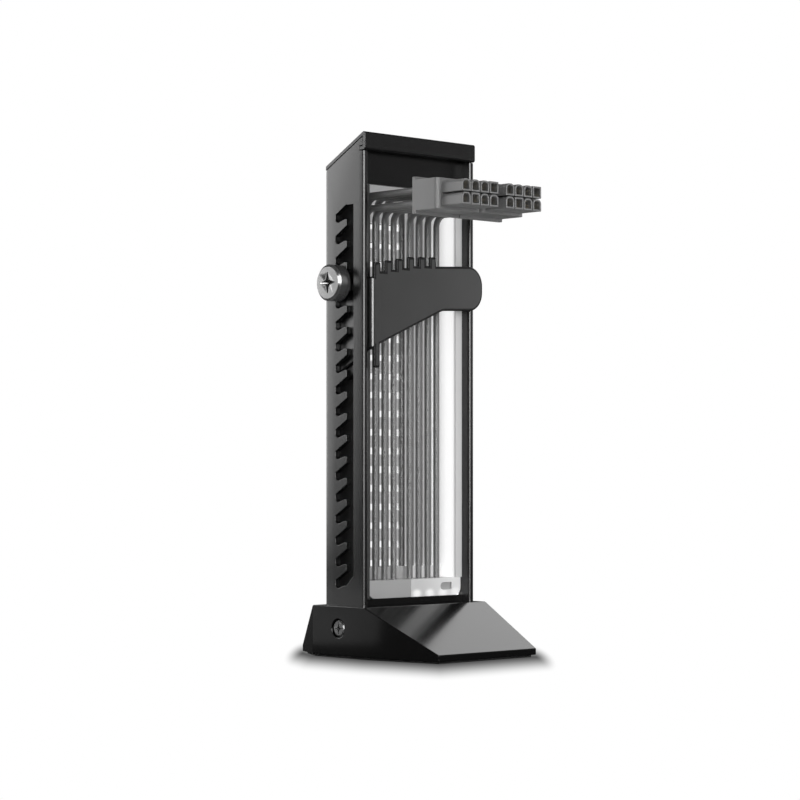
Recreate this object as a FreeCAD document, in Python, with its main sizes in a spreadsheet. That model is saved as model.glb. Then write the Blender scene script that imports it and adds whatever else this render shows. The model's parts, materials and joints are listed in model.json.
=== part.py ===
import FreeCAD, Part
import os
import Sketcher
from FreeCAD import Placement, Rotation, Vector

# Graphics card support bracket, in millimetres.
# The origin lies on the floor under the middle of the column. +X runs along the open
# front of the column, -Y points out of that front, where the plugs are, and +Z is up.

doc = FreeCAD.newDocument("card_support_bracket")

# Driving dimensions
# Each one is a cell of the sheet, and every piece reads its sizes from there.
DIMENSIONS = [
    ("contact_pitch", 4.2, "from one contact to the next"),
    ("contact_first", 3.7, "first contact, from the middle sideways"),
    ("wire_radius", 1.05, "a wire with its insulation"),
    ("window_gap", 3.1, "free space between the outer wires and the diffuser"),
    ("diffuser_sheet", 3.0, "thickness of the milky diffuser"),
    ("wall", 2.0, "sheet of the column"),
    ("column_depth", 19.26, "outside depth of the folded column"),
    ("edge_round", 0.7, "round of the column's front edges"),
    ("fold_round", 1.6, "outside round of the column's folds"),
    ("lid_front", 172.7, "top of the lid at its front edge"),
    ("lid_sheet", 1.2, "sheet of the lid"),
    ("lid_reach", 0.57, "how far the lid stands in front of the column"),
    ("lid_back", 9.0, "where the lid ends at the back"),
    ("lid_fall", 10.5, "how far the lid falls to its back edge"),
    ("lid_flange", 6.5, "height of the lid's front flange"),
    ("lid_hook", 2.6, "depth of the hook under the lid's flange"),
    ("lid_gap", 0.2, "gap between the lid and the column"),
    ("lid_round", 0.8, "outside round of the lid's folds"),
    ("back_gap", 0.8, "gap between the column's back wall and the lid"),
    ("recess", 3.8, "how far the window stands back from the column's front"),
    ("plate", 1.2, "sheet of the header, the sill and the floor plate"),
    ("header_gap", 0.7, "gap between the header plate and the lid"),
    ("header_height", 11.9, "height of the header plate"),
    ("sill_depth", 9.0, "how far the sill plate reaches into the base"),
    ("slot_front", 5.07, "from the column's front edge to the rack slot"),
    ("slot_channel", 3.36, "width of the rack slot's upright channel"),
    ("slot_head", 5.5, "upper end of the rack slot above the highest pocket"),
    ("pocket_pitch", 7.08, "from one pocket to the next"),
    ("pocket_count", 18.0, "number of pockets"),
    ("pocket_low", 22.84, "lowest point of the lowest pocket"),
    ("pocket_radius", 1.43, "round of a pocket"),
    ("pocket_reach", 5.4, "how far a pocket reaches behind the channel"),
    ("pocket_mouth", 4.85, "height of a pocket's mouth"),
    ("pocket_lip", 1.07, "level part of a pocket's floor, from the channel back"),
    ("pocket_lean", 0.45, "sine of the angle at which the floor meets the pocket's round"),
    ("pocket_step", 0.9, "how far a pocket's floor lies below its mouth"),
    ("pocket_fall", 3.2, "how far a pocket's roof falls to the back"),
    ("vent_left", 12.0, "left end of a vent, from the middle"),
    ("vent_right", 5.2, "right end of a vent, from the middle"),
    ("vent_height", 2.3, "height of a vent"),
    ("vent_pitch", 6.28, "from one vent to the next"),
    ("vent_count", 20.0, "number of vents"),
    ("vent_rise", 1.1, "middle of the lowest vent above the socket blocks"),
    ("diffuser_lap", 2.3, "how far the diffuser stands up behind the header plate"),
    ("diffuser_round", 2.5, "round in the diffuser's inner corner"),
    ("shield_sheet", 1.0, "thickness of the shield behind the rack slot"),
    ("shield_gap", 0.55, "gap between the nut plate and the shield"),
    ("fit_gap", 0.1, "gap between pieces that are fitted together"),
    ("base_rim", 2.6, "how far the base stands out beside the column"),
    ("base_top", 17.0, "height of the base"),
    ("base_brow", 2.97, "from the column to where the base slopes down"),
    ("base_front", 31.87, "from the column's front to the front toe"),
    ("base_rear", 14.37, "from the column's back to the rear toe"),
    ("toe_inset", 5.55, "how far the toes draw in on each side"),
    ("toe_height", 2.1, "height of the toes above the pad"),
    ("base_skin", 2.0, "thickness of the base's top"),
    ("base_side", 2.55, "thickness of the base's sides"),
    ("pad_sheet", 0.8, "thickness of the rubber pad"),
    ("pad_inset", 1.2, "how far the pad stands back from the base's outline"),
    ("rebate", 1.5, "rim of the base round its floor plate"),
    ("toe_front", 6.5, "solid length of the front toe"),
    ("toe_rear", 4.0, "solid length of the rear toe"),
    ("boss_radius", 3.0, "screw posts inside the base"),
    ("boss_inset", 5.5, "screw posts, from the line of the toes' sides"),
    ("boss_front", 8.4, "front screw posts, from the front ramp's top"),
    ("boss_rear", 2.9, "rear screw posts, from the rear ramp's top"),
    ("plate_screw_radius", 1.1, "shank of a floor plate screw"),
    ("plate_screw_head", 2.2, "head of a floor plate screw"),
    ("plate_screw_length", 5.0, "length of a floor plate screw"),
    ("side_screw_drop", 7.2, "side screws below the base's top"),
    ("side_screw_radius", 1.45, "shank of a side screw"),
    ("side_screw_head", 2.7, "head of a side screw"),
    ("side_screw_recess", 3.1, "recess round a side screw's head"),
    ("side_recess_depth", 1.5, "depth of that recess"),
    ("side_screw_sunk", 0.2, "how far the head lies below the base's side"),
    ("side_screw_bite", 4.0, "how far a side screw reaches into the carrier"),
    ("side_cross", 3.2, "length of the cross recess in a side screw"),
    ("side_cross_width", 0.6, "width of that recess"),
    ("side_cross_depth", 0.65, "depth of that recess"),
    ("hole_play", 0.05, "play between a shank and its hole"),
    ("block_seam", 0.2, "gap between the two socket blocks"),
    ("block_rise", 2.3, "underside of the socket blocks above the base"),
    ("block_inset", 0.58, "how far the socket blocks stand back from the window's front"),
    ("block_low", 5.9, "height of the blocks' front part"),
    ("block_high", 10.0, "height of the blocks' rear part"),
    ("block_round", 2.5, "rounded lower corners of the blocks' front"),
    ("socket_margin", 0.75, "plastic round the outer socket cavities"),
    ("socket_row", 2.65, "lower row of socket cavities above the blocks' underside"),
    ("socket_cavity", 3.3, "width of a socket cavity"),
    ("socket_depth", 7.5, "depth of a socket cavity"),
    ("socket_sunk", 0.2, "how far the sockets lie inside the back of the column"),
    ("pin_radius", 0.5, "contact pin"),
    ("pin_length", 5.8, "length of a contact pin"),
    ("mark_place", 16.6, "middle of the recess in the lit block's front"),
    ("mark_rise", 3.15, "that recess above the block's underside"),
    ("mark_width", 5.5, "length of that recess"),
    ("mark_height", 2.5, "height of that recess"),
    ("mark_depth", 0.8, "depth of that recess"),
    ("board_sheet", 1.6, "thickness of the lamp board"),
    ("lamp_width", 3.4, "width of a lamp"),
    ("lamp_depth", 2.6, "depth of a lamp"),
    ("lamp_height", 0.8, "height of a lamp"),
    ("lamp_pitch", 6.1, "from one lamp to the next"),
    ("lamp_first", 2.8, "first lamp, from the middle"),
    ("lamp_inset", 1.75, "row of lamps behind the blocks' front"),
    ("wire_bend", 4.0, "bend of a wire, at its middle line"),
    ("wire_gap", 0.41, "gap between the back row of wires and the diffuser"),
    ("wire_rows", 3.9, "from the front row of wires to the back row"),
    ("wire_drop", 7.6, "lower row of wires below the header plate"),
    ("hood_reach", 17.17, "from the column's front to the plugs' hoods"),
    ("hood_depth", 11.6, "depth of a hood"),
    ("hood_side", 3.8, "from a plug's outer contact to its hood's side"),
    ("hood_lip", 2.9, "from a plug's contacts to its hood's top"),
    ("hood_rim", 1.5, "thickness of the rim at a hood's back"),
    ("rim_step", 1.0, "how far that rim stands out above and below"),
    ("hood_round", 1.6, "rounded front corners of a hood"),
    ("plug_gap", 0.4, "gap between the two hoods"),
    ("nose_length", 9.4, "length of the plugs' noses"),
    ("tube_width", 3.85, "outside of a plug's tube"),
    ("tube_cavity", 2.75, "inside of a plug's tube"),
    ("tube_depth", 7.0, "depth of a plug's tube"),
    ("tube_root", 0.3, "thickness of the nose's back"),
    ("tube_round", 1.5, "round of a keyed tube's upper corners"),
    ("web_half", 0.8, "half height of the web that joins the tubes of a row"),
    ("web_back", 0.8, "how far that web stands back from the tubes' ends"),
    ("sleeve_radius", 1.05, "contact sleeve, outside"),
    ("sleeve_bore", 0.75, "contact sleeve, inside"),
    ("sleeve_length", 4.2, "length of a contact sleeve"),
    ("arm_sheet", 1.2, "sheet of the support arm"),
    ("arm_gap", 0.57, "gap between the arm and the column's front"),
    ("arm_side_gap", 0.2, "gap between the arm's flange and the column's wall"),
    ("arm_bend", 0.85, "outside round of the arm's fold"),
    ("arm_overreach", 2.5, "how far the arm reaches past the column's right side"),
    ("arm_round", 6.4, "rounded end of the arm"),
    ("screw_pocket", 3.0, "pocket that the clamp screw sits in, counted down from the top"),
    ("fold_low", 20.46, "lower end of the fold below the clamp pocket"),
    ("fold_high", 2.74, "upper end of the fold above the clamp pocket"),
    ("arm_end_top", 8.89, "top of the arm's end above the clamp pocket"),
    ("arm_end_low", 6.21, "underside of the arm's end below the clamp pocket"),
    ("rest_start", 7.74, "start of the rest above the clamp pocket"),
    ("rest_draft", 0.3, "slant of the last tooth's side, which clears a card on the rest"),
    ("knee_inset", 18.95, "where the arm's underside turns down, from the arm's end"),
    ("knee_low", 7.01, "that place below the clamp pocket"),
    ("knee_round", 6.0, "round of the arm's knee"),
    ("tooth_inset", 1.07, "left edge of the teeth, from the column's inner face"),
    ("tooth_pitch", 5.08, "from one tooth to the next"),
    ("tooth_width", 3.1, "width of a tooth"),
    ("tooth_height", 2.9, "height of a tooth"),
    ("tooth_round", 0.6, "rounded corners of a tooth"),
    ("tooth_start", 7.64, "top of the first tooth above the clamp pocket"),
    ("tooth_steep", 0.85, "rise from tooth to tooth on the left"),
    ("tooth_gentle", 0.3, "rise from tooth to tooth on the right"),
    ("prong_width", 2.7, "width of the prong under the arm"),
    ("prong_low", 26.86, "lower end of the prong below the clamp pocket"),
    ("prong_round", 0.8, "rounded corners of the prong"),
    ("flange_margin", 2.6, "from the clamp screw to the flange's back edge"),
    ("flange_high", 4.94, "top of the flange above the clamp pocket"),
    ("flange_front", 8.8, "where the flange's top steps up, in front of the clamp screw"),
    ("flange_step", 2.0, "length of that step"),
    ("flange_low", 28.46, "lowest corner of the flange below the clamp pocket"),
    ("nut_sheet", 1.3, "thickness of the nut plate"),
    ("nut_front", 10.0, "from the clamp screw to the nut plate's front edge"),
    ("nut_low", 30.56, "lower end of the nut plate below the clamp pocket"),
    ("nut_high", 4.54, "upper end of the nut plate above the clamp pocket"),
    ("screw_radius", 1.2, "shank of the clamp screw"),
    ("screw_seat", 0.03, "play under the clamp screw's shank"),
    ("knob_radius", 6.02, "head of the clamp screw"),
    ("knob_height", 3.97, "thickness of that head"),
    ("knob_bevel", 1.0, "bevel round that head"),
    ("knob_slot", 0.9, "width of the cross recess"),
    ("knob_cross", 5.6, "length of the cross recess"),
    ("knob_slot_depth", 1.7, "depth of the cross recess"),
    ("washer_sheet", 0.8, "thickness of the washer"),
    ("washer_gap", 0.02, "gap between the washer and the column"),
]

sheet = doc.addObject("Spreadsheet::Sheet", "Sizes")
for row, (alias, number, meaning) in enumerate(DIMENSIONS, start=1):
    sheet.set(f"A{row}", meaning)
    sheet.set(f"B{row}", str(number))
    sheet.setAlias(f"B{row}", alias)
doc.recompute()


class Size:
    """A length that carries its number and the sheet formula that gives it."""

    def __init__(self, number, formula):
        self.number = float(number)
        self.formula = formula

    def __add__(self, other):
        other = as_size(other)
        return Size(self.number + other.number, f"({self.formula} + {other.formula})")

    def __sub__(self, other):
        other = as_size(other)
        return Size(self.number - other.number, f"({self.formula} - {other.formula})")

    def __mul__(self, other):
        other = as_size(other)
        return Size(self.number * other.number, f"({self.formula} * {other.formula})")

    def __truediv__(self, other):
        other = as_size(other)
        return Size(self.number / other.number, f"({self.formula} / {other.formula})")

    def __neg__(self):
        return Size(-self.number, f"(0 - {self.formula})")


def root(size):
    """The square root of a Size."""
    return Size(size.number ** 0.5, f"sqrt({size.formula})")


def as_size(value):
    """Turn a plain number into a Size."""
    return value if isinstance(value, Size) else Size(value, str(float(value)))


def cell(alias):
    """The sheet cell with this alias."""
    return Size(sheet.get(alias), f"Sizes.{alias}")


# Sketches and features
# A sketch on XY is drawn in X and Y, one on XZ in X and Z, and one on YZ in Y and Z.
# The XZ plane's normal points along -Y, so its offsets change sign.
# OVERCUT is how far a cutting solid runs past the face that it opens.
NORMAL_SIGN = {"XY": 1, "XZ": -1, "YZ": 1}
OVERCUT = 1


def new_body(label):
    """An empty PartDesign body with the label of its piece."""
    body = doc.addObject("PartDesign::Body", label)
    body.Label = label
    return body


def new_sketch(body, name, plane, level):
    """A sketch on one of the body's own planes, moved along that plane's normal."""
    role = f"{plane}_Plane"
    support = [item for item in body.Origin.OriginFeatures if item.Role == role][0]
    sketch = body.newObject("Sketcher::SketchObject", name)
    sketch.AttachmentSupport = [(support, "")]
    sketch.MapMode = "FlatFace"
    offset = level * NORMAL_SIGN[plane]
    sketch.AttachmentOffset = Placement(Vector(0, 0, offset.number), Rotation())
    sketch.setExpression("AttachmentOffset.Base.z", offset.formula)
    return sketch


def bind(sketch, kind, target, size):
    """Dimension a sketch point or circle, and bind the dimension to the sheet."""
    constraint = Sketcher.Constraint(kind, *target, size.number)
    index = sketch.addConstraint(constraint)
    sketch.setExpression(f"Constraints[{index}]", size.formula)


def draw_corners(sketch, corners):
    """A closed outline of straight lines through dimensioned corners."""
    corners = [(as_size(across), as_size(up)) for across, up in corners]
    points = [Vector(across.number, up.number, 0) for across, up in corners]
    count = len(points)
    first = sketch.GeometryCount
    for index, point in enumerate(points):
        sketch.addGeometry(Part.LineSegment(point, points[(index + 1) % count]), False)
    for index in range(count):
        this, following = first + index, first + (index + 1) % count
        sketch.addConstraint(Sketcher.Constraint("Coincident", this, 2, following, 1))
    for index, (across, up) in enumerate(corners):
        bind(sketch, "DistanceX", (-1, 1, first + index, 1), across)
        bind(sketch, "DistanceY", (-1, 1, first + index, 1), up)


def draw_circle(sketch, across, up, radius):
    """A circle with a dimensioned centre and radius."""
    across, up, radius = as_size(across), as_size(up), as_size(radius)
    centre = Vector(across.number, up.number, 0)
    index = sketch.GeometryCount
    sketch.addGeometry(Part.Circle(centre, Vector(0, 0, 1), radius.number), False)
    bind(sketch, "DistanceX", (-1, 1, index, 3), across)
    bind(sketch, "DistanceY", (-1, 1, index, 3), up)
    bind(sketch, "Radius", (index,), radius)


def feature(body, kind, name, plane, low, high, outlines):
    """A pad or pocket between two levels along the plane's axis."""
    low, high = as_size(low), as_size(high)
    towards_normal = (kind == "Pad") == (NORMAL_SIGN[plane] > 0)
    sketch = new_sketch(body, f"{name}_outline", plane, low if towards_normal else high)
    for outline in outlines:
        if isinstance(outline, list):
            draw_corners(sketch, outline)
        else:
            draw_circle(sketch, *outline)
    result = body.newObject(f"PartDesign::{kind}", name)
    result.Profile = sketch
    result.Length = (high - low).number
    result.setExpression("Length", (high - low).formula)
    body.Tip = result
    return result


def pad(body, name, plane, low, high, *outlines):
    """Add material between two levels."""
    return feature(body, "Pad", name, plane, low, high, outlines)


def pocket(body, name, plane, low, high, *outlines):
    """Take material away between two levels."""
    return feature(body, "Pocket", name, plane, low, high, outlines)


def box(left, right, low, high):
    """The four corners of a rectangle."""
    return [(left, low), (right, low), (right, high), (left, high)]


def repeat(body, name, originals, count, pitch):
    """Repeat features upwards at a pitch."""
    axis = [item for item in body.Origin.OriginFeatures if item.Role == "Z_Axis"][0]
    pattern = body.newObject("PartDesign::LinearPattern", name)
    pattern.Originals = originals
    pattern.Direction = (axis, [""])
    span = (count - 1) * pitch
    pattern.Length = span.number
    pattern.setExpression("Length", span.formula)
    pattern.Occurrences = int(count.number)
    pattern.setExpression("Occurrences", count.formula)
    body.Tip = pattern
    return pattern


def round_edges(body, name, radius, is_wanted):
    """Round the edges of the body's last feature that a test picks out."""
    doc.recompute()
    base = body.Tip
    chosen = [f"Edge{number}" for number, edge in enumerate(base.Shape.Edges, start=1)
              if is_wanted(edge)]
    result = body.newObject("PartDesign::Fillet", name)
    result.Base = (base, chosen)
    result.Radius = radius.number
    result.setExpression("Radius", radius.formula)
    body.Tip = result
    return result


def along(edge, direction):
    """True for a straight edge that runs along a direction."""
    if edge.Curve.TypeId != "Part::GeomLine":
        return False
    return edge.Curve.Direction.cross(direction).Length < 1e-6


def passes(edge, point, free):
    """True if an edge along one axis runs through a point, with that axis left free."""
    gap = edge.CenterOfMass - point
    return (gap - free * gap.dot(free)).Length < 0.02


X_AXIS, Y_AXIS, Z_AXIS = Vector(1, 0, 0), Vector(0, 1, 0), Vector(0, 0, 1)


def cylinder(label, radius, length, base, direction):
    """A Part cylinder that starts at a place and runs along an axis."""
    radius, length = as_size(radius), as_size(length)
    item = doc.addObject("Part::Cylinder", label)
    item.Label = label
    item.Placement = Placement(Vector(), Rotation(Z_AXIS, direction))
    item.setExpression("Radius", radius.formula)
    item.setExpression("Height", length.formula)
    for axis, value in zip("xyz", base):
        item.setExpression(f"Placement.Base.{axis}", as_size(value).formula)
    return item


def block(label, left, right, front, back, low, high):
    """A Part box between six levels."""
    sides = [(as_size(left), as_size(right)), (as_size(front), as_size(back)),
             (as_size(low), as_size(high))]
    item = doc.addObject("Part::Box", label)
    item.Label = label
    for name, axis, (start, end) in zip(("Length", "Width", "Height"), "xyz", sides):
        item.setExpression(name, (end - start).formula)
        item.setExpression(f"Placement.Base.{axis}", start.formula)
    return item


def cut(label, base, *tools):
    """One solid with others taken away."""
    tool = tools[0] if len(tools) == 1 else fuse(f"{label}_tools", *tools)
    item = doc.addObject("Part::Cut", label)
    item.Label = label
    item.Base, item.Tool = base, tool
    return item


def fuse(label, *items):
    """Several solids as one object."""
    item = doc.addObject("Part::MultiFuse", label)
    item.Label = label
    item.Shapes = list(items)
    return item


def group(label, *items):
    """Like solids that stay separate, in one object."""
    item = doc.addObject("Part::Compound", label)
    item.Label = label
    item.Links = list(items)
    return item


NODES = []


def piece(item):
    """Count an object among the pieces that are written out."""
    NODES.append(item)
    return item


# Faces that several pieces share
contact_pitch = cell("contact_pitch")
columns = [cell("contact_first") + contact_pitch * number for number in range(4)]
wire_radius = cell("wire_radius")
diffuser_sheet = cell("diffuser_sheet")
wall = cell("wall")
inner_side = columns[-1] + wire_radius + cell("window_gap") + diffuser_sheet
half_width = inner_side + wall
half_depth = cell("column_depth") / 2
inner_back = half_depth - wall
window_front = -half_depth + cell("recess")
plate = cell("plate")
fit_gap = cell("fit_gap")
base_under = cell("pad_sheet")


# Base shell
# A moulded black foot: a flat top round the column, a long ramp in front, a short one
# behind, and sides that draw in towards both toes. It is hollow, open below, and has
# four screw posts for its floor plate and a recess on each side for a screw.
base_half = half_width + cell("base_rim")
toe_half = base_half - cell("toe_inset")
shoulder = half_depth + cell("base_brow")
front_toe = -half_depth - cell("base_front")
rear_toe = half_depth + cell("base_rear")
base_top = cell("base_top")
toe_top = base_under + cell("toe_height")


def base_plan(inset):
    """The base's outline from above, drawn in by a margin all round."""
    inset = as_size(inset)
    side, toe = base_half - inset, toe_half - inset
    return [(-side, -shoulder), (-toe, front_toe + inset), (toe, front_toe + inset),
            (side, -shoulder), (side, shoulder), (toe, rear_toe - inset),
            (-toe, rear_toe - inset), (-side, shoulder)]


def slope_cut(front, rear, top, front_lip, rear_lip):
    """What lies above the two ramps, seen from the side."""
    crest = top + OVERCUT
    front_part = [(front, front_lip), (-shoulder, top), (-shoulder, crest), (front, crest)]
    rear_part = [(rear, rear_lip), (shoulder, top), (shoulder, crest), (rear, crest)]
    return front_part, rear_part


outer = new_body("base_outside")
pad(outer, "base_block", "XY", base_under, base_top, base_plan(0))
front_part, rear_part = slope_cut(front_toe, rear_toe, base_top, toe_top, toe_top)
pocket(outer, "front_ramp", "YZ", -base_half, base_half, front_part)
pocket(outer, "rear_ramp", "YZ", -base_half, base_half, rear_part)

skin = cell("base_skin")
cavity_top = base_top - skin
cavity_side = base_half - cell("base_side")
front_slope = (base_top - toe_top) / (-front_toe - shoulder)
rear_slope = (base_top - toe_top) / (rear_toe - shoulder)
cavity_front = -front_toe - cell("toe_front")
cavity_rear = rear_toe - cell("toe_rear")
taper = (base_half - toe_half) / (-front_toe - shoulder)
rear_taper = (base_half - toe_half) / (rear_toe - shoulder)
front_half = cavity_side - taper * (cavity_front - shoulder)
rear_half = cavity_side - rear_taper * (cavity_rear - shoulder)
front_roof = cavity_top - front_slope * (cavity_front - shoulder)
rear_roof = cavity_top - rear_slope * (cavity_rear - shoulder)

hollow = new_body("base_hollow")
pad(hollow, "hollow_block", "XY", base_under, cavity_top,
    [(-cavity_side, -shoulder), (-front_half, -cavity_front), (front_half, -cavity_front),
     (cavity_side, -shoulder), (cavity_side, shoulder), (rear_half, cavity_rear),
     (-rear_half, cavity_rear), (-cavity_side, shoulder)])
front_part, rear_part = slope_cut(-cavity_front, cavity_rear, cavity_top, front_roof, rear_roof)
pocket(hollow, "hollow_front", "YZ", -base_half, base_half, front_part)
pocket(hollow, "hollow_rear", "YZ", -base_half, base_half, rear_part)

rebate = new_body("base_rebate")
plate_top = base_under + plate
pad(rebate, "rebate_block", "XY", base_under, plate_top, base_plan(cell("rebate")))

socket_hole = block("base_column_hole", -half_width - fit_gap, half_width + fit_gap,
                    -half_depth - fit_gap, half_depth + fit_gap, plate_top, base_top + OVERCUT)
side_height = base_top - cell("side_screw_drop")
side_holes = []
for side, sign in (("left", -1), ("right", 1)):
    direction = X_AXIS * -sign
    face = base_half * sign
    place = (face, 0, side_height)
    side_holes.append(cylinder(f"base_recess_{side}", cell("side_screw_recess"),
                               cell("side_recess_depth"), place, direction))
    side_holes.append(cylinder(f"base_hole_{side}", cell("side_screw_radius") + cell("hole_play"),
                               cell("base_side") + OVERCUT, place, direction))

posts, post_holes, post_places = [], [], []
for across in (-1, 1):
    for away, name in ((-shoulder - cell("boss_front"), "front"),
                       (shoulder + cell("boss_rear"), "rear")):
        sideways = (toe_half - cell("boss_inset")) * across
        label = f"{name}_{'left' if across < 0 else 'right'}"
        roof_slope = front_slope if name == "front" else rear_slope
        reach = cell(f"boss_{name}") + cell("boss_radius")
        post_top = base_top - skin / 2 - roof_slope * reach
        posts.append(cylinder(f"post_{label}", cell("boss_radius"), post_top - plate_top,
                              (sideways, away, plate_top), Z_AXIS))
        post_holes.append(cylinder(f"post_hole_{label}", cell("plate_screw_radius") + cell("hole_play"),
                                   cell("plate_screw_length") + cell("hole_play"),
                                   (sideways, away, base_under), Z_AXIS))
        post_places.append((label, sideways, away))

base_open = cut("base_open", outer, hollow, rebate, socket_hole, *side_holes)
base_posted = fuse("base_posted", base_open, *posts)
piece(cut("base_shell", base_posted, *post_holes))


# Floor plate, its screws and the pad
# A steel plate closes the base from below and weighs it down. Four countersunk screws
# hold it to the posts, and a rubber pad is glued over it.
floor_plate = new_body("base_plate")
pad(floor_plate, "floor_sheet", "XY", base_under, plate_top, base_plan(cell("rebate") + fit_gap))
head_holes = []
screws = []
head_low = base_under
head_high = base_under + plate / 2
for label, sideways, away in post_places:
    head_holes.append(cylinder(f"plate_hole_{label}", cell("plate_screw_radius") + cell("hole_play"),
                               plate + OVERCUT, (sideways, away, head_low), Z_AXIS))
    head_holes.append(cylinder(f"plate_sink_{label}", cell("plate_screw_head") + cell("hole_play"),
                               plate / 2, (sideways, away, head_low), Z_AXIS))
    shank = cylinder(f"plate_shank_{label}", cell("plate_screw_radius"),
                     cell("plate_screw_length"), (sideways, away, head_low), Z_AXIS)
    head = cylinder(f"plate_head_{label}", cell("plate_screw_head"),
                    plate / 2, (sideways, away, head_low), Z_AXIS)
    screws.append(fuse(f"plate_screw_{label}", shank, head))
piece(cut("base_floor_plate", floor_plate, *head_holes))
piece(group("floor_plate_screws", *screws))

rubber = piece(new_body("rubber_pad"))
pad(rubber, "pad_sheet_block", "XY", as_size(0), base_under, base_plan(cell("pad_inset")))


# Column
# One steel sheet folded into a channel that is open to the front. Its side walls end in
# a slope under the lid, with a notch for the lid's hook. The left wall has the toothed
# slot that the arm hooks into, and the back wall has vents and a window for the sockets.
foot = plate_top
lid_slope = cell("lid_fall") / (half_depth + cell("lid_reach") + cell("lid_back"))
lid_front_face = -half_depth - cell("lid_reach")
lid_front_top = cell("lid_front")
lid_sheet = cell("lid_sheet")
lid_depth = lid_sheet * root(lid_slope * lid_slope + 1)
lid_gap = cell("lid_gap")


def lid_line(place, drop):
    """Height of the lid's slope at a depth, lowered by a distance."""
    return lid_front_top - lid_slope * (place - lid_front_face) - drop


under_lid = lid_depth + lid_gap
flange_inner = lid_front_face + lid_sheet + lid_gap
flange_low = lid_front_top - cell("lid_flange")
hook_back = lid_front_face + cell("lid_hook") + lid_gap
hook_top = flange_low + lid_sheet + lid_gap
side_back = cell("lid_back")
back_top = lid_line(side_back, lid_depth) - cell("back_gap")

column = piece(new_body("column_shell"))
pad(column, "column_outside", "XY", foot, lid_front_top,
    box(-half_width, half_width, -half_depth, half_depth))
pocket(column, "column_inside", "XY", foot, lid_front_top,
       box(-inner_side, inner_side, -half_depth, inner_back))
front_line, back_line = -half_depth.number, half_depth.number
round_edges(column, "column_front_edges", cell("edge_round"),
            lambda edge: along(edge, Z_AXIS) and abs(edge.CenterOfMass.y - front_line) < 0.01)
round_edges(column, "column_folds", cell("fold_round"),
            lambda edge: along(edge, Z_AXIS) and abs(edge.CenterOfMass.y - back_line) < 0.01)
pocket(column, "side_wall_tops", "YZ", -half_width, half_width,
       [(-half_depth, flange_low - lid_gap), (hook_back, flange_low - lid_gap),
        (hook_back, hook_top), (flange_inner, hook_top),
        (flange_inner, lid_line(flange_inner, under_lid)),
        (side_back, lid_line(side_back, under_lid)), (side_back, back_top),
        (half_depth, back_top), (half_depth, lid_front_top), (-half_depth, lid_front_top)])

slot_front = -half_depth + cell("slot_front")
slot_back = slot_front + cell("slot_channel")
pocket_low = cell("pocket_low")
pocket_radius = cell("pocket_radius")
pocket_back = slot_back + cell("pocket_reach")
pocket_centre = pocket_back - pocket_radius
lip = pocket_low + cell("pocket_step")
roof = lip + cell("pocket_mouth")
slot_foot = lip + (slot_back - slot_front)
pocket_high = pocket_low + cell("pocket_pitch") * (cell("pocket_count") - 1)
slot_top = pocket_high + cell("slot_head")
pocket(column, "slot_channel", "YZ", -half_width, -inner_side,
       [(slot_front, slot_foot), (slot_back, lip), (slot_back, slot_top), (slot_front, slot_top)])
lean = cell("pocket_lean")
middle = pocket_low + pocket_radius
tangent_drop = pocket_radius * root(as_size(1) - lean * lean)
mouth = slot_back - fit_gap
notch = pocket(column, "slot_pocket", "YZ", -half_width, -inner_side,
               [(mouth, lip), (slot_back + cell("pocket_lip"), lip),
                (pocket_centre - pocket_radius * lean, middle - tangent_drop),
                (pocket_centre, middle), (pocket_back, middle),
                (pocket_back, roof - cell("pocket_fall")), (slot_back, roof), (mouth, roof)])
notch_round = pocket(column, "slot_round", "YZ", -half_width, -inner_side,
                     (pocket_centre, middle, pocket_radius))
repeat(column, "slot_teeth", [notch, notch_round], cell("pocket_count"), cell("pocket_pitch"))

block_bottom = base_top + cell("block_rise")
block_low = block_bottom + cell("block_low")
block_high = block_bottom + cell("block_high")
vent_middle = block_high + cell("vent_rise")
vent_low = vent_middle - cell("vent_height") / 2
vent_high = vent_middle + cell("vent_height") / 2
vent_outline = box(-cell("vent_left"), cell("vent_right"), vent_low, vent_high)
vent = pocket(column, "column_vent", "XZ", inner_back, half_depth, vent_outline)
repeat(column, "column_vents", [vent], cell("vent_count"), cell("vent_pitch"))

cavity_half = cell("socket_cavity") / 2
socket_frame = cavity_half + cell("socket_margin")
socket_rows = (block_bottom + cell("socket_row"), block_bottom + cell("socket_row") + contact_pitch)
socket_far = columns[-1] + socket_frame
socket_low = socket_rows[0] - socket_frame + fit_gap
socket_high = socket_rows[1] + socket_frame
pocket(column, "socket_window", "XZ", inner_back, half_depth,
       box(-socket_far - fit_gap, socket_far + fit_gap, socket_low - fit_gap, socket_high + fit_gap))
pocket(column, "side_screw_holes", "YZ", -half_width, half_width,
       (0, side_height, cell("side_screw_radius") + cell("hole_play")))


# Lid
# A strip folded twice: it slopes down to the back, turns down in front, and hooks back
# under the notches of the side walls.
lid = piece(new_body("top_cap"))
lid_back = cell("lid_back")
pad(lid, "lid_strip", "YZ", -half_width, half_width,
    [(lid_front_face, lid_front_top), (lid_front_face, flange_low),
     (lid_front_face + cell("lid_hook"), flange_low),
     (lid_front_face + cell("lid_hook"), flange_low + lid_sheet),
     (lid_front_face + lid_sheet, flange_low + lid_sheet),
     (lid_front_face + lid_sheet, lid_line(lid_front_face + lid_sheet, lid_depth)),
     (lid_back, lid_line(lid_back, lid_depth)), (lid_back, lid_line(lid_back, 0))])
fold_heights = (lid_front_top.number, flange_low.number)
round_edges(lid, "lid_folds", cell("lid_round"),
            lambda edge: along(edge, X_AXIS)
            and abs(edge.CenterOfMass.y - lid_front_face.number) < 0.01
            and min(abs(edge.CenterOfMass.z - height) for height in fold_heights) < 0.01)


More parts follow.
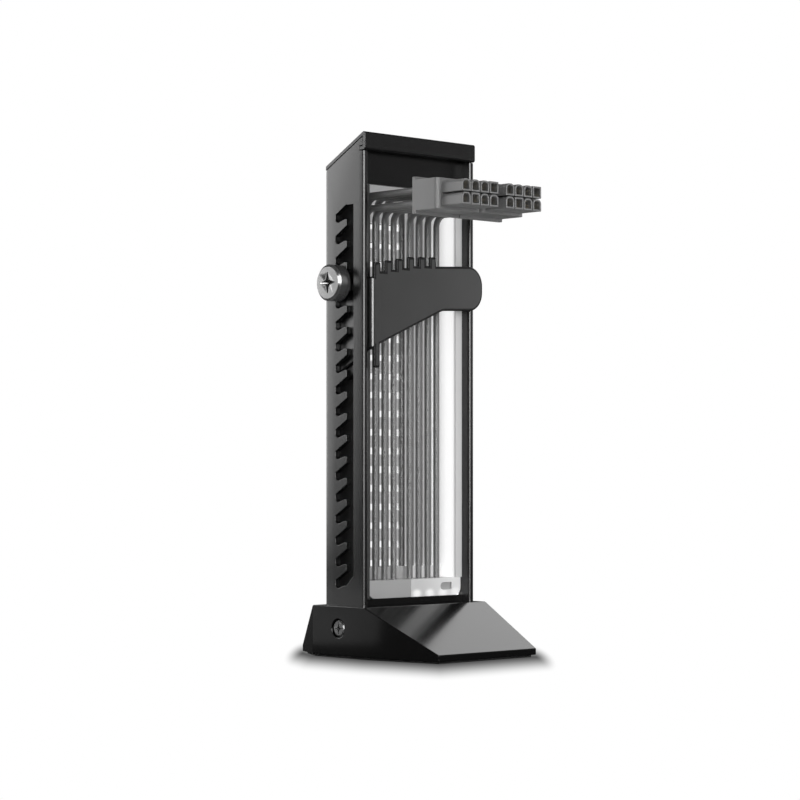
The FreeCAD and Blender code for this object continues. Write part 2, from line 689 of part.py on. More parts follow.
# Header, sill and shield
# Black sheets inside the column: one closes its top above the wires, one its foot in
# front of the socket blocks, and one stands behind the toothed slot.
header_top = lid_line(window_front + plate, lid_depth) - cell("header_gap")
header_bottom = header_top - cell("header_height")
header = piece(new_body("header_plate"))
pad(header, "header_sheet", "XZ", window_front, window_front + plate,
    box(-inner_side, inner_side, header_bottom, header_top))
sill = piece(new_body("sill_plate"))
pad(sill, "sill_sheet", "XZ", window_front, window_front + plate,
    box(-inner_side, inner_side, base_top - cell("sill_depth"), block_bottom - fit_gap / 2))
arm_sheet = cell("arm_sheet")
arm_outer = -inner_side + cell("arm_side_gap")
arm_inner = arm_outer + arm_sheet
nut_left = arm_inner
nut_right = nut_left + cell("nut_sheet")
shield_left = nut_right + cell("shield_gap")
shield_right = shield_left + cell("shield_sheet")
shield = piece(new_body("slot_shield"))
pad(shield, "shield_sheet", "XY", block_bottom, header_bottom - fit_gap,
    box(shield_left, shield_right, window_front + fit_gap, inner_back))


# Light diffuser
# A milky moulding that lines the back and the right of the window, with a round inner
# corner and the same vents as the column.
diffuser = piece(new_body("light_diffuser"))
diffuser_left = shield_right + fit_gap
liner_face = inner_side - diffuser_sheet
panel_face = inner_back - diffuser_sheet
row_back = panel_face - wire_radius - cell("wire_gap")
row_front = row_back - cell("wire_rows")
block_step = (row_front + row_back) / 2
diffuser_top = header_bottom + cell("diffuser_lap")
pad(diffuser, "diffuser_block", "XY", block_low + fit_gap, diffuser_top,
    [(diffuser_left, inner_back), (diffuser_left, panel_face), (liner_face, panel_face),
     (liner_face, window_front), (inner_side, window_front), (inner_side, inner_back)])
pocket(diffuser, "diffuser_foot", "YZ", diffuser_left, inner_side,
       box(block_step, inner_back, block_low, block_high + fit_gap))
pocket(diffuser, "diffuser_head", "XY", header_bottom - fit_gap, diffuser_top,
       box(liner_face, inner_side, window_front, window_front + plate + fit_gap))
round_edges(diffuser, "diffuser_corner", cell("diffuser_round"),
            lambda edge: along(edge, Z_AXIS)
            and passes(edge, Vector(liner_face.number, panel_face.number, 0), Z_AXIS))
liner_vent = pocket(diffuser, "diffuser_vent", "XZ", panel_face, inner_back, vent_outline)
repeat(diffuser, "diffuser_vents", [liner_vent], cell("vent_count"), cell("vent_pitch"))


# Socket carrier, lamp board and lamps
# A plastic block fills the column's foot. The side screws bite into it, and it carries
# the lamp board, whose lamps shine up into the right socket block.
carrier_front = window_front + plate
board_top = block_bottom
board_low = board_top - cell("board_sheet")
carrier = piece(new_body("socket_carrier"))
pad(carrier, "carrier_block", "XY", foot, board_low,
    box(-inner_side + fit_gap, inner_side - fit_gap, carrier_front, inner_back))
carrier_side = inner_side - fit_gap
bite = cell("side_screw_bite") + fit_gap
for side, low, high in (("left", -carrier_side, -carrier_side + bite),
                        ("right", carrier_side - bite, carrier_side)):
    pocket(carrier, f"carrier_hole_{side}", "YZ", low, high,
           (0, side_height, cell("side_screw_radius") + cell("hole_play")))
board = piece(new_body("lamp_board"))
pad(board, "board_sheet", "XY", board_low, board_top,
    box(diffuser_left, inner_side - fit_gap, carrier_front, inner_back))

lamp_low = board_top
lamp_high = board_top + cell("lamp_height")
lamp_half = cell("lamp_width") / 2
lamp_places = [cell("lamp_first") + cell("lamp_pitch") * number for number in range(4)]
block_front = window_front + cell("block_inset")
lamp_row = block_front + cell("lamp_inset")
lamp_front = lamp_row - cell("lamp_depth") / 2
lamp_back = lamp_row + cell("lamp_depth") / 2
lamps = [block(f"lamp_{number}", place - lamp_half, place + lamp_half, lamp_front, lamp_back,
               lamp_low, lamp_high)
         for number, place in enumerate(lamp_places, start=1)]
piece(group("lamps", *lamps))


# Socket blocks and pins
# Two plastic blocks side by side take eight wires each from above, in two steps, and
# have eight contacts each to the back, where the supply's plugs go in.
seam_half = cell("block_seam") / 2
socket_back = half_depth - cell("socket_sunk")
cavity_floor = socket_back - cell("socket_depth")


def socket_block(label, sign, far_side):
    """One socket block, its pins and, on the right, the hollows over the lamps."""
    body = piece(new_body(label))
    near, far = seam_half * sign, as_size(far_side) * sign
    left, right = (near, far) if sign > 0 else (far, near)
    pad(body, f"{label}_body", "YZ", left, right,
        [(block_front, board_top), (inner_back, board_top), (inner_back, block_high),
         (block_step, block_high), (block_step, block_low), (block_front, block_low)])
    corner = Vector(far.number, 0, board_top.number)
    round_edges(body, f"{label}_corner", cell("block_round"),
                lambda edge: along(edge, Y_AXIS) and passes(edge, corner, Y_AXIS))
    outer_side = socket_far * sign
    low_side, high_side = (near, outer_side) if sign > 0 else (outer_side, near)
    pad(body, f"{label}_snout", "XZ", inner_back, socket_back,
        box(low_side, high_side, socket_low, socket_high))
    holes, pins = [], []
    for row_number, height in enumerate(socket_rows, start=1):
        for column_number, across in enumerate(columns, start=1):
            centre = across * sign
            holes.append(box(centre - cavity_half, centre + cavity_half,
                             height - cavity_half, height + cavity_half))
            pins.append(cylinder(f"{label}_pin_{row_number}{column_number}", cell("pin_radius"),
                                 cell("pin_length"), (centre, cavity_floor, height), Y_AXIS))
    pocket(body, f"{label}_cavities", "XZ", cavity_floor, socket_back, *holes)
    return body, pins


left_block, left_pins = socket_block("socket_block_left", -1, -diffuser_left)
right_block, right_pins = socket_block("socket_block_right", 1, inner_side - fit_gap)
for number, place in enumerate(lamp_places, start=1):
    pocket(right_block, f"lamp_hollow_{number}", "XY", board_top, lamp_high + fit_gap,
           box(place - lamp_half - fit_gap, place + lamp_half + fit_gap,
               lamp_front - fit_gap, lamp_back + fit_gap))
mark_left = cell("mark_place") - cell("mark_width") / 2
mark_half = cell("mark_height") / 2
mark_middle = board_top + cell("mark_rise")
mark_back = block_front + cell("mark_depth")
pocket(right_block, "mark_square", "XZ", block_front, mark_back,
       box(mark_left + mark_half, mark_left + cell("mark_width"),
           mark_middle - mark_half, mark_middle + mark_half))
pocket(right_block, "mark_round", "XZ", block_front, mark_back,
       (mark_left + mark_half, mark_middle, mark_half))
piece(group("socket_pins_left", *left_pins))
piece(group("socket_pins_right", *right_pins))


# Wires
# Sixteen stiff insulated wires stand in two rows, bend forward under the header and run
# out to the plugs. Each is swept along a straight run, a quarter circle and a straight run.
wire_bend = cell("wire_bend")
hood_back = -half_depth - cell("hood_reach")
lower_wire = header_bottom - cell("wire_drop")
upper_wire = lower_wire + contact_pitch


def wire(label, across, stand, start, height):
    """One wire from its socket block to its hood."""
    radius, bend = wire_radius.number, wire_bend.number
    place_x, place_y = across.number, stand.number
    bottom, top = start.number, height.number
    corner_y, corner_z = place_y - bend, top - bend
    reach = bend * (1 - 0.5 ** 0.5)
    points = [Vector(place_x, place_y, bottom), Vector(place_x, place_y, corner_z),
              Vector(place_x, place_y - reach, top - reach),
              Vector(place_x, corner_y, top), Vector(place_x, hood_back.number, top)]
    path = Part.Wire([Part.LineSegment(points[0], points[1]).toShape(),
                      Part.Arc(points[1], points[2], points[3]).toShape(),
                      Part.LineSegment(points[3], points[4]).toShape()])
    ring = Part.Wire([Part.Circle(points[0], Z_AXIS, radius).toShape()])
    item = doc.addObject("Part::Feature", label)
    item.Label = label
    item.Shape = path.makePipeShell([ring], True, False)
    return piece(item)


for side, sign in (("left", -1), ("right", 1)):
    for number, across in enumerate(columns, start=1):
        wire(f"wire_{side}_front_{number}", across * sign, row_front, block_low, lower_wire)
        wire(f"wire_{side}_back_{number}", across * sign, row_back, block_high, upper_wire)


# Plugs
# Each plug has a hood with a rim at its back and a nose of eight tubes, some square and
# some arched at the top, so that it fits one way only. A sleeve sits in each tube.
plug_middle = (lower_wire + upper_wire) / 2
hood_front = hood_back - cell("hood_depth")
nose_front = hood_front - cell("nose_length")
hood_half = contact_pitch / 2 + cell("hood_lip")
rim_half = hood_half + cell("rim_step")
tube_half = cell("tube_width") / 2
bore_half = cell("tube_cavity") / 2
tube_round = cell("tube_round")
bore_round = tube_round * bore_half / tube_half
TOP_ROW = ("keyed", "keyed", "keyed", "square")
BOTTOM_ROW = ("keyed", "square", "keyed", "keyed")


def plug(side, sign):
    """One hood, one nose and its eight sleeves."""
    near = cell("plug_gap") / 2 * sign
    far = (columns[-1] + cell("hood_side")) * sign
    left, right = (near, far) if sign > 0 else (far, near)
    hood = piece(new_body(f"plug_hood_{side}"))
    pad(hood, f"hood_block_{side}", "XZ", hood_front, hood_back,
        box(left, right, plug_middle - hood_half, plug_middle + hood_half))
    round_edges(hood, f"hood_corners_{side}", cell("hood_round"),
                lambda edge: along(edge, Z_AXIS) and abs(edge.CenterOfMass.y - hood_front.number) < 0.02)
    pad(hood, f"hood_rim_{side}", "XZ", hood_back - cell("hood_rim"), hood_back,
        box(left, right, plug_middle - rim_half, plug_middle + rim_half))

    nose = piece(new_body(f"plug_nose_{side}"))
    places = sorted((across * sign for across in columns), key=lambda place: place.number)
    tubes = [(centre, height, kind)
             for height, kinds in ((upper_wire, TOP_ROW), (lower_wire, BOTTOM_ROW))
             for centre, kind in zip(places, kinds)]
    tube_root = hood_front - cell("tube_root")
    pad(nose, f"nose_back_{side}", "XZ", tube_root, hood_front,
        box(places[0] - tube_half, places[-1] + tube_half,
            lower_wire - tube_half, upper_wire + tube_half))

    def squares(half):
        return [box(centre - half, centre + half, height - half, height + half)
                for centre, height, kind in tubes]

    def arch_corners(half):
        corners = [(centre + half * across, height + half)
                   for centre, height, kind in tubes if kind == "keyed" for across in (-1, 1)]
        return [Vector(across.number, 0, up.number) for across, up in corners]

    def round_arches(name, half, radius, front_only):
        corners = arch_corners(half)
        round_edges(nose, name, radius,
                    lambda edge: along(edge, Y_AXIS)
                    and edge.CenterOfMass.y < front_only.number
                    and any(passes(edge, corner, Y_AXIS) for corner in corners))

    pad(nose, f"nose_tubes_{side}", "XZ", nose_front, tube_root, *squares(tube_half))
    round_arches(f"nose_arches_{side}", tube_half, tube_round, tube_root)
    web_half = cell("web_half")
    for row, height in (("low", lower_wire), ("high", upper_wire)):
        pad(nose, f"nose_web_{side}_{row}", "XZ", nose_front + cell("web_back"), tube_root,
            box(places[0], places[-1], height - web_half, height + web_half))
    pocket(nose, f"nose_bores_{side}", "XZ", nose_front, nose_front + cell("tube_depth"),
           *squares(bore_half))
    round_arches(f"nose_bore_arches_{side}", bore_half, bore_round, tube_root)
    sleeves = [(centre, height) for centre, height, kind in tubes]

    rings = []
    floor_level = nose_front + cell("tube_depth")
    for number, (centre, height) in enumerate(sleeves, start=1):
        sleeve = cylinder(f"sleeve_{side}_{number}", cell("sleeve_radius"), cell("sleeve_length"),
                          (centre, floor_level, height), -Y_AXIS)
        bore = cylinder(f"sleeve_bore_{side}_{number}", cell("sleeve_bore"), cell("sleeve_length"),
                        (centre, floor_level, height), -Y_AXIS)
        rings.append(cut(f"contact_{side}_{number}", sleeve, bore))
    piece(group(f"plug_contacts_{side}", *rings))


plug("left", -1)
plug("right", 1)


# Support arm
# One steel sheet with a fold at its left. The front part has a comb of teeth that parts
# the wires, a rest for the card, a rounded end, a sloping underside and a short prong.
# The flange goes back inside the column's left wall, and the clamp screw goes through it.
clamp_pocket = pocket_high - cell("pocket_pitch") * cell("screw_pocket")
arm_back = -half_depth - cell("arm_gap")
arm_front = arm_back - arm_sheet
arm_left = -inner_side + cell("tooth_inset")
arm_end = half_width + cell("arm_overreach")
arm_end_top = clamp_pocket + cell("arm_end_top")
arm_end_low = clamp_pocket - cell("arm_end_low")
rest_start = clamp_pocket + cell("rest_start")
TOOTH_COUNT = 6
STEEP_TEETH = 3
tooth_tops = [clamp_pocket + cell("tooth_start")]
for number in range(1, TOOTH_COUNT):
    step = cell("tooth_steep") if number <= STEEP_TEETH else cell("tooth_gentle")
    tooth_tops.append(tooth_tops[-1] + step)

comb = []
for number, top in enumerate(tooth_tops):
    right = arm_left + cell("tooth_width") + cell("tooth_pitch") * number
    left = right - cell("tooth_width")
    floor_height = top - cell("tooth_height")
    if number > 0:
        comb.append((left, tooth_tops[number - 1] - cell("tooth_height")))
    comb.append((left, top))
    if number < TOOTH_COUNT - 1:
        comb.append((right, top))
        comb.append((right, floor_height))
    else:
        comb.append((right - cell("rest_draft"), top))
comb_right = arm_left + cell("tooth_width") + cell("tooth_pitch") * (TOOTH_COUNT - 1)

fold_low = clamp_pocket - cell("fold_low")
fold_high = clamp_pocket + cell("fold_high")
knee_x = arm_end - cell("knee_inset")
knee_z = clamp_pocket - cell("knee_low")
diagonal = (knee_z - fold_low) / (knee_x - arm_outer)
prong_left = arm_left
prong_right = prong_left + cell("prong_width")
prong_low = clamp_pocket - cell("prong_low")

arm = piece(new_body("support_arm"))
pad(arm, "arm_front", "XZ", arm_front, arm_back,
    [(arm_outer, fold_high), (arm_left, fold_high)] + comb
    + [(comb_right, rest_start), (arm_end, arm_end_top), (arm_end, arm_end_low), (knee_x, knee_z),
       (prong_right, fold_low + diagonal * (prong_right - arm_outer)), (prong_right, prong_low),
       (prong_left, prong_low), (prong_left, fold_low + diagonal * (prong_left - arm_outer)),
       (arm_outer, fold_low)])
fold_corner = Vector(arm_outer.number, arm_front.number, 0)
round_edges(arm, "arm_fold", cell("arm_bend"),
            lambda edge: along(edge, Z_AXIS) and passes(edge, fold_corner, Z_AXIS))
screw_place = pocket_centre
screw_height = clamp_pocket + cell("screw_radius") + cell("screw_seat")
screw_hole = cell("screw_radius") + cell("hole_play")
flange_back = screw_place + cell("flange_margin")
flange_corner = screw_place - cell("flange_front")
flange_front = arm_front + cell("arm_bend")
flange_high = clamp_pocket + cell("flange_high")
pad(arm, "arm_flange", "YZ", arm_outer, arm_inner,
    [(flange_front, fold_low), (flange_front, fold_high),
     (flange_corner - cell("flange_step"), fold_high), (flange_corner, flange_high),
     (flange_back, flange_high), (flange_back, clamp_pocket - cell("flange_low"))])
pocket(arm, "arm_screw_hole", "YZ", arm_outer, arm_inner, (screw_place, screw_height, screw_hole))
end_corners = [Vector(arm_end.number, 0, height.number) for height in (arm_end_top, arm_end_low)]
round_edges(arm, "arm_end_rounds", cell("arm_round"),
            lambda edge: along(edge, Y_AXIS)
            and any(passes(edge, corner, Y_AXIS) for corner in end_corners))
knee_corner = Vector(knee_x.number, 0, knee_z.number)
round_edges(arm, "arm_knee", cell("knee_round"),
            lambda edge: along(edge, Y_AXIS) and passes(edge, knee_corner, Y_AXIS))
comb_corners = []
for number, top in enumerate(tooth_tops):
    right = comb_right.number - cell("tooth_pitch").number * (TOOTH_COUNT - 1 - number)
    comb_corners.append(Vector(right - cell("tooth_width").number, 0, top.number))
round_edges(arm, "tooth_rounds", cell("tooth_round"),
            lambda edge: along(edge, Y_AXIS)
            and any(passes(edge, corner, Y_AXIS) for corner in comb_corners))
prong_corners = [Vector(prong_left.number, 0, prong_low.number),
                 Vector(prong_right.number, 0, prong_low.number)]
round_edges(arm, "prong_rounds", cell("prong_round"),
            lambda edge: along(edge, Y_AXIS)
            and any(passes(edge, corner, Y_AXIS) for corner in prong_corners))


# Nut plate
# A steel plate behind the arm's flange, with the thread for the clamp screw.
nut = piece(new_body("nut_plate"))
pad(nut, "nut_sheet", "YZ", nut_left, nut_right,
    box(screw_place - cell("nut_front"), flange_back,
        clamp_pocket - cell("nut_low"), clamp_pocket + cell("nut_high")))
pocket(nut, "nut_thread", "YZ", nut_left, nut_right, (screw_place, screw_height, screw_hole))


# Clamp screw and washer
# The screw goes through the washer, a pocket of the toothed slot, the arm's flange and
# the nut plate. Its wide head has a bevel and a cross recess.
washer = piece(new_body("thumb_washer"))
washer_right = -half_width - cell("washer_gap")
washer_left = washer_right - cell("washer_sheet")
pad(washer, "washer_disc", "YZ", washer_left, washer_right,
    (screw_place, screw_height, cell("knob_radius")), (screw_place, screw_height, screw_hole))

screw = piece(new_body("thumb_screw"))
knob_right = washer_left - cell("washer_gap")
knob_left = knob_right - cell("knob_height")
pad(screw, "knob_disc", "YZ", knob_left, knob_right,
    (screw_place, screw_height, cell("knob_radius")))
pad(screw, "screw_shank", "YZ", knob_right, nut_right, (screw_place, screw_height, cell("screw_radius")))
doc.recompute()
rim = screw.Tip
knob_edges = [f"Edge{number}" for number, edge in enumerate(rim.Shape.Edges, start=1)
              if edge.Curve.TypeId == "Part::GeomCircle"
              and abs(edge.Curve.Radius - cell("knob_radius").number) < 0.01
              and abs(edge.CenterOfMass.x - knob_left.number) < 0.01]
bevel = screw.newObject("PartDesign::Chamfer", "knob_bevel")
bevel.Base = (rim, knob_edges)
bevel.Size = cell("knob_bevel").number
bevel.setExpression("Size", cell("knob_bevel").formula)
screw.Tip = bevel
slot_half = cell("knob_slot") / 2
cross_half = cell("knob_cross") / 2
slot_floor = knob_left + cell("knob_slot_depth")
pocket(screw, "cross_upright", "YZ", knob_left, slot_floor,
       box(screw_place - slot_half, screw_place + slot_half,
           screw_height - cross_half, screw_height + cross_half))
pocket(screw, "cross_level", "YZ", knob_left, slot_floor,
       box(screw_place - cross_half, screw_place + cross_half,
           screw_height - slot_half, screw_height + slot_half))


# Side screws
# A screw in each side of the base goes through the column's wall into the carrier.
for side, sign in (("left", -1), ("right", 1)):
    direction = X_AXIS * -sign
    head_face = (base_half - cell("side_screw_sunk")) * sign
    head_length = cell("side_recess_depth") - cell("side_screw_sunk")
    head_under = (base_half - cell("side_recess_depth")) * sign
    shank_length = base_half - cell("side_recess_depth") - carrier_side + cell("side_screw_bite")
    head = cylinder(f"side_head_{side}", cell("side_screw_head"), head_length,
                    (head_face, 0, side_height), direction)
    shank = cylinder(f"side_shank_{side}", cell("side_screw_radius"), shank_length,
                     (head_under, 0, side_height), direction)
    body = fuse(f"side_body_{side}", head, shank)
    slot_deep = cell("side_cross_depth")
    low, high = (head_face, head_face + slot_deep) if sign < 0 else (head_face - slot_deep, head_face)
    narrow, wide = cell("side_cross_width") / 2, cell("side_cross") / 2
    upright = block(f"side_slot_{side}_upright", low, high, -narrow, narrow,
                    side_height - wide, side_height + wide)
    level = block(f"side_slot_{side}_level", low, high, -wide, wide,
                  side_height - narrow, side_height + narrow)
    piece(cut(f"base_screw_{side}", body, upright, level))


# Checks and export
doc.recompute()
faults = [item.Name for item in doc.Objects
          if "Invalid" in item.State or "Error" in item.State]
if faults:
    raise RuntimeError(f"failed objects: {faults}")
os.makedirs("parts", exist_ok=True)
for item in NODES:
    shape = item.Shape
    if shape.isNull() or not shape.isValid() or not shape.Solids:
        raise RuntimeError(f"bad shape: {item.Label}")
for item in NODES:
    item.Shape.exportStep(f"parts/{item.Label}.step")
print(f"{len(NODES)} pieces")
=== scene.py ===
import json
import math

import bpy
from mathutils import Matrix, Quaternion, Vector

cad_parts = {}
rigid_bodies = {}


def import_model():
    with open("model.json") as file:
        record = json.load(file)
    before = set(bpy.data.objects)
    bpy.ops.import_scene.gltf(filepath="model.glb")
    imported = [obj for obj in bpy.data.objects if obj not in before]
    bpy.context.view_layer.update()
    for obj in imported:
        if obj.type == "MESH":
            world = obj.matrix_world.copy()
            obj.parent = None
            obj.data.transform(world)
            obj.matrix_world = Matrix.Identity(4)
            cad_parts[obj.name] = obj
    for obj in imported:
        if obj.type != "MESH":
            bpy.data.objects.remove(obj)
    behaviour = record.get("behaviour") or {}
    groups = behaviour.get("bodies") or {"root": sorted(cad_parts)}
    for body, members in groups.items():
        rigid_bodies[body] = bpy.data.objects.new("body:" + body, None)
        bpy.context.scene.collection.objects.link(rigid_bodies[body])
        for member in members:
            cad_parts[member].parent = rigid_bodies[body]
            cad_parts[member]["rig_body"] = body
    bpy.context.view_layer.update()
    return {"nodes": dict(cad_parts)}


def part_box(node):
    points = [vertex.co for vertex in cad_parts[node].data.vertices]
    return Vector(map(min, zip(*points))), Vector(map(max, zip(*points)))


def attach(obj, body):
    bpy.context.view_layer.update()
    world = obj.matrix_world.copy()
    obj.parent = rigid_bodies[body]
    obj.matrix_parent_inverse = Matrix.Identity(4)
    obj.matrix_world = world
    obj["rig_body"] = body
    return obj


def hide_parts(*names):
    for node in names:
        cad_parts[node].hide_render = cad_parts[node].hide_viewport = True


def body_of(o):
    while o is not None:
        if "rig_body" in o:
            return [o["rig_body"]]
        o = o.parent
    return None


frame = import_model()
scene = bpy.context.scene

# Camera
# It stands low in front of the open side's left edge and looks level. The photograph's
# horizon lies below the middle of the picture, so the lens is shifted up.
CAMERA_PLACE = (-0.5662, -0.5966, 0.0627)
CAMERA_TURN = -43.5
SENSOR_WIDTH = 36.0
FOCAL_LENGTH = 110.25
HORIZON_SHIFT = 67 / 800
NEAREST_SEEN = 0.01

bpy.ops.object.select_all(action="DESELECT")
bpy.ops.object.camera_add(location=CAMERA_PLACE,
                          rotation=(math.radians(90), 0, math.radians(CAMERA_TURN)))
camera = bpy.context.object
camera.name = "camera"
camera.data.sensor_width = SENSOR_WIDTH
camera.data.lens = FOCAL_LENGTH
camera.data.shift_y = HORIZON_SHIFT
camera.data.clip_start = NEAREST_SEEN
scene.camera = camera
scene.view_settings.view_transform = "Standard"


# Studio room
# White to the camera and evenly pale to matt surfaces. Gloss mirrors a dim room instead,
# bright on the camera's side, where rounded edges find it, and pale at the back left and
# at the front right. Each wall has a direction, the cosines of its rim, and a level.
ROOM_LEVEL = 0.55
MIRRORED_LEVEL = 0.07
MIRRORED_WALLS = (((-0.64, -0.77, 0.05), 0.80, 0.90, 12.0),
                  ((-0.69, 0.725, 0.0), 0.80, 0.97, 0.30),
                  ((0.688, -0.725, 0.1), 0.55, 0.98, 0.17))


def by_ray(tree, plain, mirrored, seen):
    """One shader for the light on matt surfaces, one for mirror images, one for the camera."""
    link = tree.links.new
    path = tree.nodes.new("ShaderNodeLightPath")
    by_gloss = tree.nodes.new("ShaderNodeMixShader")
    by_camera = tree.nodes.new("ShaderNodeMixShader")
    link(path.outputs["Is Glossy Ray"], by_gloss.inputs["Fac"])
    link(plain, by_gloss.inputs[1])
    link(mirrored, by_gloss.inputs[2])
    link(path.outputs["Is Camera Ray"], by_camera.inputs["Fac"])
    link(by_gloss.outputs["Shader"], by_camera.inputs[1])
    link(seen, by_camera.inputs[2])
    return by_camera.outputs["Shader"]


room = bpy.data.worlds.new("room")
scene.world = room
room.use_nodes = True
tree = room.node_tree
tree.nodes.clear()
link = tree.links.new
seen = tree.nodes.new("ShaderNodeBackground")
seen.inputs["Color"].default_value = (1, 1, 1, 1)
even = tree.nodes.new("ShaderNodeBackground")
even.inputs["Strength"].default_value = ROOM_LEVEL
mirrored = tree.nodes.new("ShaderNodeBackground")
direction = tree.nodes.new("ShaderNodeTexCoord")
total = None
for towards, outer, inner, brightness in MIRRORED_WALLS:
    nearness = tree.nodes.new("ShaderNodeVectorMath")
    nearness.operation = "DOT_PRODUCT"
    nearness.inputs[1].default_value = Vector(towards).normalized()
    link(direction.outputs["Generated"], nearness.inputs[0])
    wall = tree.nodes.new("ShaderNodeMapRange")
    wall.interpolation_type = "SMOOTHSTEP"
    wall.inputs["From Min"].default_value = outer
    wall.inputs["From Max"].default_value = inner
    wall.inputs["To Max"].default_value = brightness
    link(nearness.outputs["Value"], wall.inputs["Value"])
    both = tree.nodes.new("ShaderNodeMath")
    both.operation = "ADD"
    both.inputs[1].default_value = MIRRORED_LEVEL
    if total:
        link(total, both.inputs[1])
    link(wall.outputs["Result"], both.inputs[0])
    total = both.outputs[0]
link(total, mirrored.inputs["Color"])
world_out = tree.nodes.new("ShaderNodeOutputWorld")
light = by_ray(tree, even.outputs["Background"], mirrored.outputs["Background"],
               seen.outputs["Background"])
link(light, world_out.inputs["Surface"])


# Lamps
# Soft boxes: a near one behind on the left that the left wall mirrors, one overhead that
# the ramp mirrors, a near one that the arm's tip mirrors, a fill in front that reaches
# into the plugs' tubes, and a faint one that only the foot's left side mirrors.
def soft_lamp(name, place, target, width, height, radiance, roll=0):
    """A rectangular soft lamp of a given radiance that looks at a point."""
    place, target = Vector(place), Vector(target)
    turn = (target - place).to_track_quat("-Z", "Y") @ Quaternion((0, 0, 1), math.radians(roll))
    bpy.ops.object.light_add(type="AREA", location=place, rotation=turn.to_euler())
    lamp = bpy.context.object
    lamp.name = name
    lamp.data.shape = "RECTANGLE"
    lamp.data.size = width
    lamp.data.size_y = height
    lamp.data.energy = radiance * math.pi * width * height
    return lamp


soft_lamp("left_wall_lamp", (-0.123, 0.256, 0.175), (-0.0205, 0.145, 0.175), 0.20, 0.27, 4.6, roll=-11)
soft_lamp("ramp_lamp", (0.325, 0.10, 0.255), (0.01, -0.02, 0.01), 0.20, 0.22, 2.3)
soft_lamp("arm_lamp", (0.312, -0.139, 0.13), (0.03, -0.01, 0.12), 0.12, 0.12, 4.0)
soft_lamp("front_lamp", (0.05, -0.9, 0.3), (0, 0, 0.1), 0.4, 0.4, 4.5)
foot_lamp = soft_lamp("foot_lamp", (-0.0625, 0.036, 0.011), (-0.028, 0, 0.011), 0.05, 0.02, 0.6)
foot_lamp.visible_camera = False


# Floor
# A pale floor that runs out into the white room. The object's soft shadow is painted on
# it along the foot's visible sides, narrow beside the foot and wide towards the camera.
FLOOR_SIZE = 12.0
FLOOR_GREY = 0.86
FLOOR_GLOSS_GREY = 0.06
SHADOW_SIDE = 0.0059
SHADOW_FRONT = 0.062
SHADOW_START = -0.56
SHADOW_CORE = 0.08
SHADOW_CURVE = 2.2
BROW = 0.00297
TOE_INSET = 0.00555

bpy.ops.object.select_all(action="DESELECT")
bpy.ops.mesh.primitive_plane_add(size=FLOOR_SIZE, location=(0, 0, 0))
floor = bpy.context.object
floor.name = "floor"
foot_low, foot_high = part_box("base_shell")
toe = foot_high.x - TOE_INSET
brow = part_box("column_shell")[1].y + BROW
outline = [(-toe, foot_high.y), (foot_low.x, brow), (foot_low.x, -brow), (-toe, foot_low.y),
           (toe, foot_low.y), (foot_high.x, -brow)]
sin_turn, cos_turn = math.sin(math.radians(CAMERA_TURN)), math.cos(math.radians(CAMERA_TURN))
sideways = Vector((cos_turn, sin_turn, 0)) / SHADOW_SIDE
towards = Vector((sin_turn, -cos_turn, 0)) / SHADOW_FRONT
corners = [Vector((sideways.dot(point), towards.dot(point), 0))
           for point in (Vector((x, y, 0)) for x, y in outline)]

floor_paint = bpy.data.materials.new("floor_paint")
floor_paint.use_nodes = True
tree = floor_paint.node_tree
tree.nodes.clear()
link = tree.links.new


def joined_node(kind, operation, *values):
    """A Math or VectorMath node of the current tree, with plain or linked inputs."""
    node = tree.nodes.new(kind)
    node.operation = operation
    for slot, value in enumerate(values):
        if isinstance(value, bpy.types.NodeSocket):
            link(value, node.inputs[slot])
        else:
            node.inputs[slot].default_value = value
    return node


def number_node(operation, *values):
    """The output of a Math node."""
    return joined_node("ShaderNodeMath", operation, *values).outputs[0]


def vector_node(operation, *values):
    """The output of a VectorMath node, a number for a dot product or a length."""
    node = joined_node("ShaderNodeVectorMath", operation, *values)
    return node.outputs["Value" if operation in ("DOT_PRODUCT", "LENGTH") else "Vector"]


place = tree.nodes.new("ShaderNodeTexCoord").outputs["Object"]
scaled = tree.nodes.new("ShaderNodeCombineXYZ")
link(vector_node("DOT_PRODUCT", place, sideways), scaled.inputs["X"])
link(vector_node("DOT_PRODUCT", place, towards), scaled.inputs["Y"])
reach = None
for start, end in zip(corners, corners[1:]):
    side = end - start
    from_start = vector_node("SUBTRACT", scaled.outputs["Vector"], start)
    share = vector_node("DOT_PRODUCT", from_start, side / side.length_squared)
    share = number_node("MINIMUM", number_node("MAXIMUM", share, 0.0), 1.0)
    along = joined_node("ShaderNodeVectorMath", "SCALE", side)
    link(share, along.inputs["Scale"])
    distance = vector_node("LENGTH", vector_node("SUBTRACT", from_start, along.outputs["Vector"]))
    reach = number_node("MINIMUM", reach, distance) if reach else distance
fade = tree.nodes.new("ShaderNodeMapRange")
fade.interpolation_type = "SMOOTHSTEP"
fade.inputs["From Min"].default_value = SHADOW_START
fade.inputs["To Min"].default_value = SHADOW_CORE
link(reach, fade.inputs["Value"])
shade = number_node("POWER", fade.outputs["Result"], SHADOW_CURVE)
painted = tree.nodes.new("ShaderNodeEmission")
link(shade, painted.inputs["Color"])
matt = tree.nodes.new("ShaderNodeBsdfDiffuse")
matt.inputs["Color"].default_value = (FLOOR_GREY, FLOOR_GREY, FLOOR_GREY, 1)
dim = tree.nodes.new("ShaderNodeBsdfDiffuse")
dim.inputs["Color"].default_value = (FLOOR_GLOSS_GREY, FLOOR_GLOSS_GREY, FLOOR_GLOSS_GREY, 1)
paint_out = tree.nodes.new("ShaderNodeOutputMaterial")
light = by_ray(tree, matt.outputs["BSDF"], dim.outputs["BSDF"], painted.outputs["Emission"])
link(light, paint_out.inputs["Surface"])
floor.data.materials.append(floor_paint)


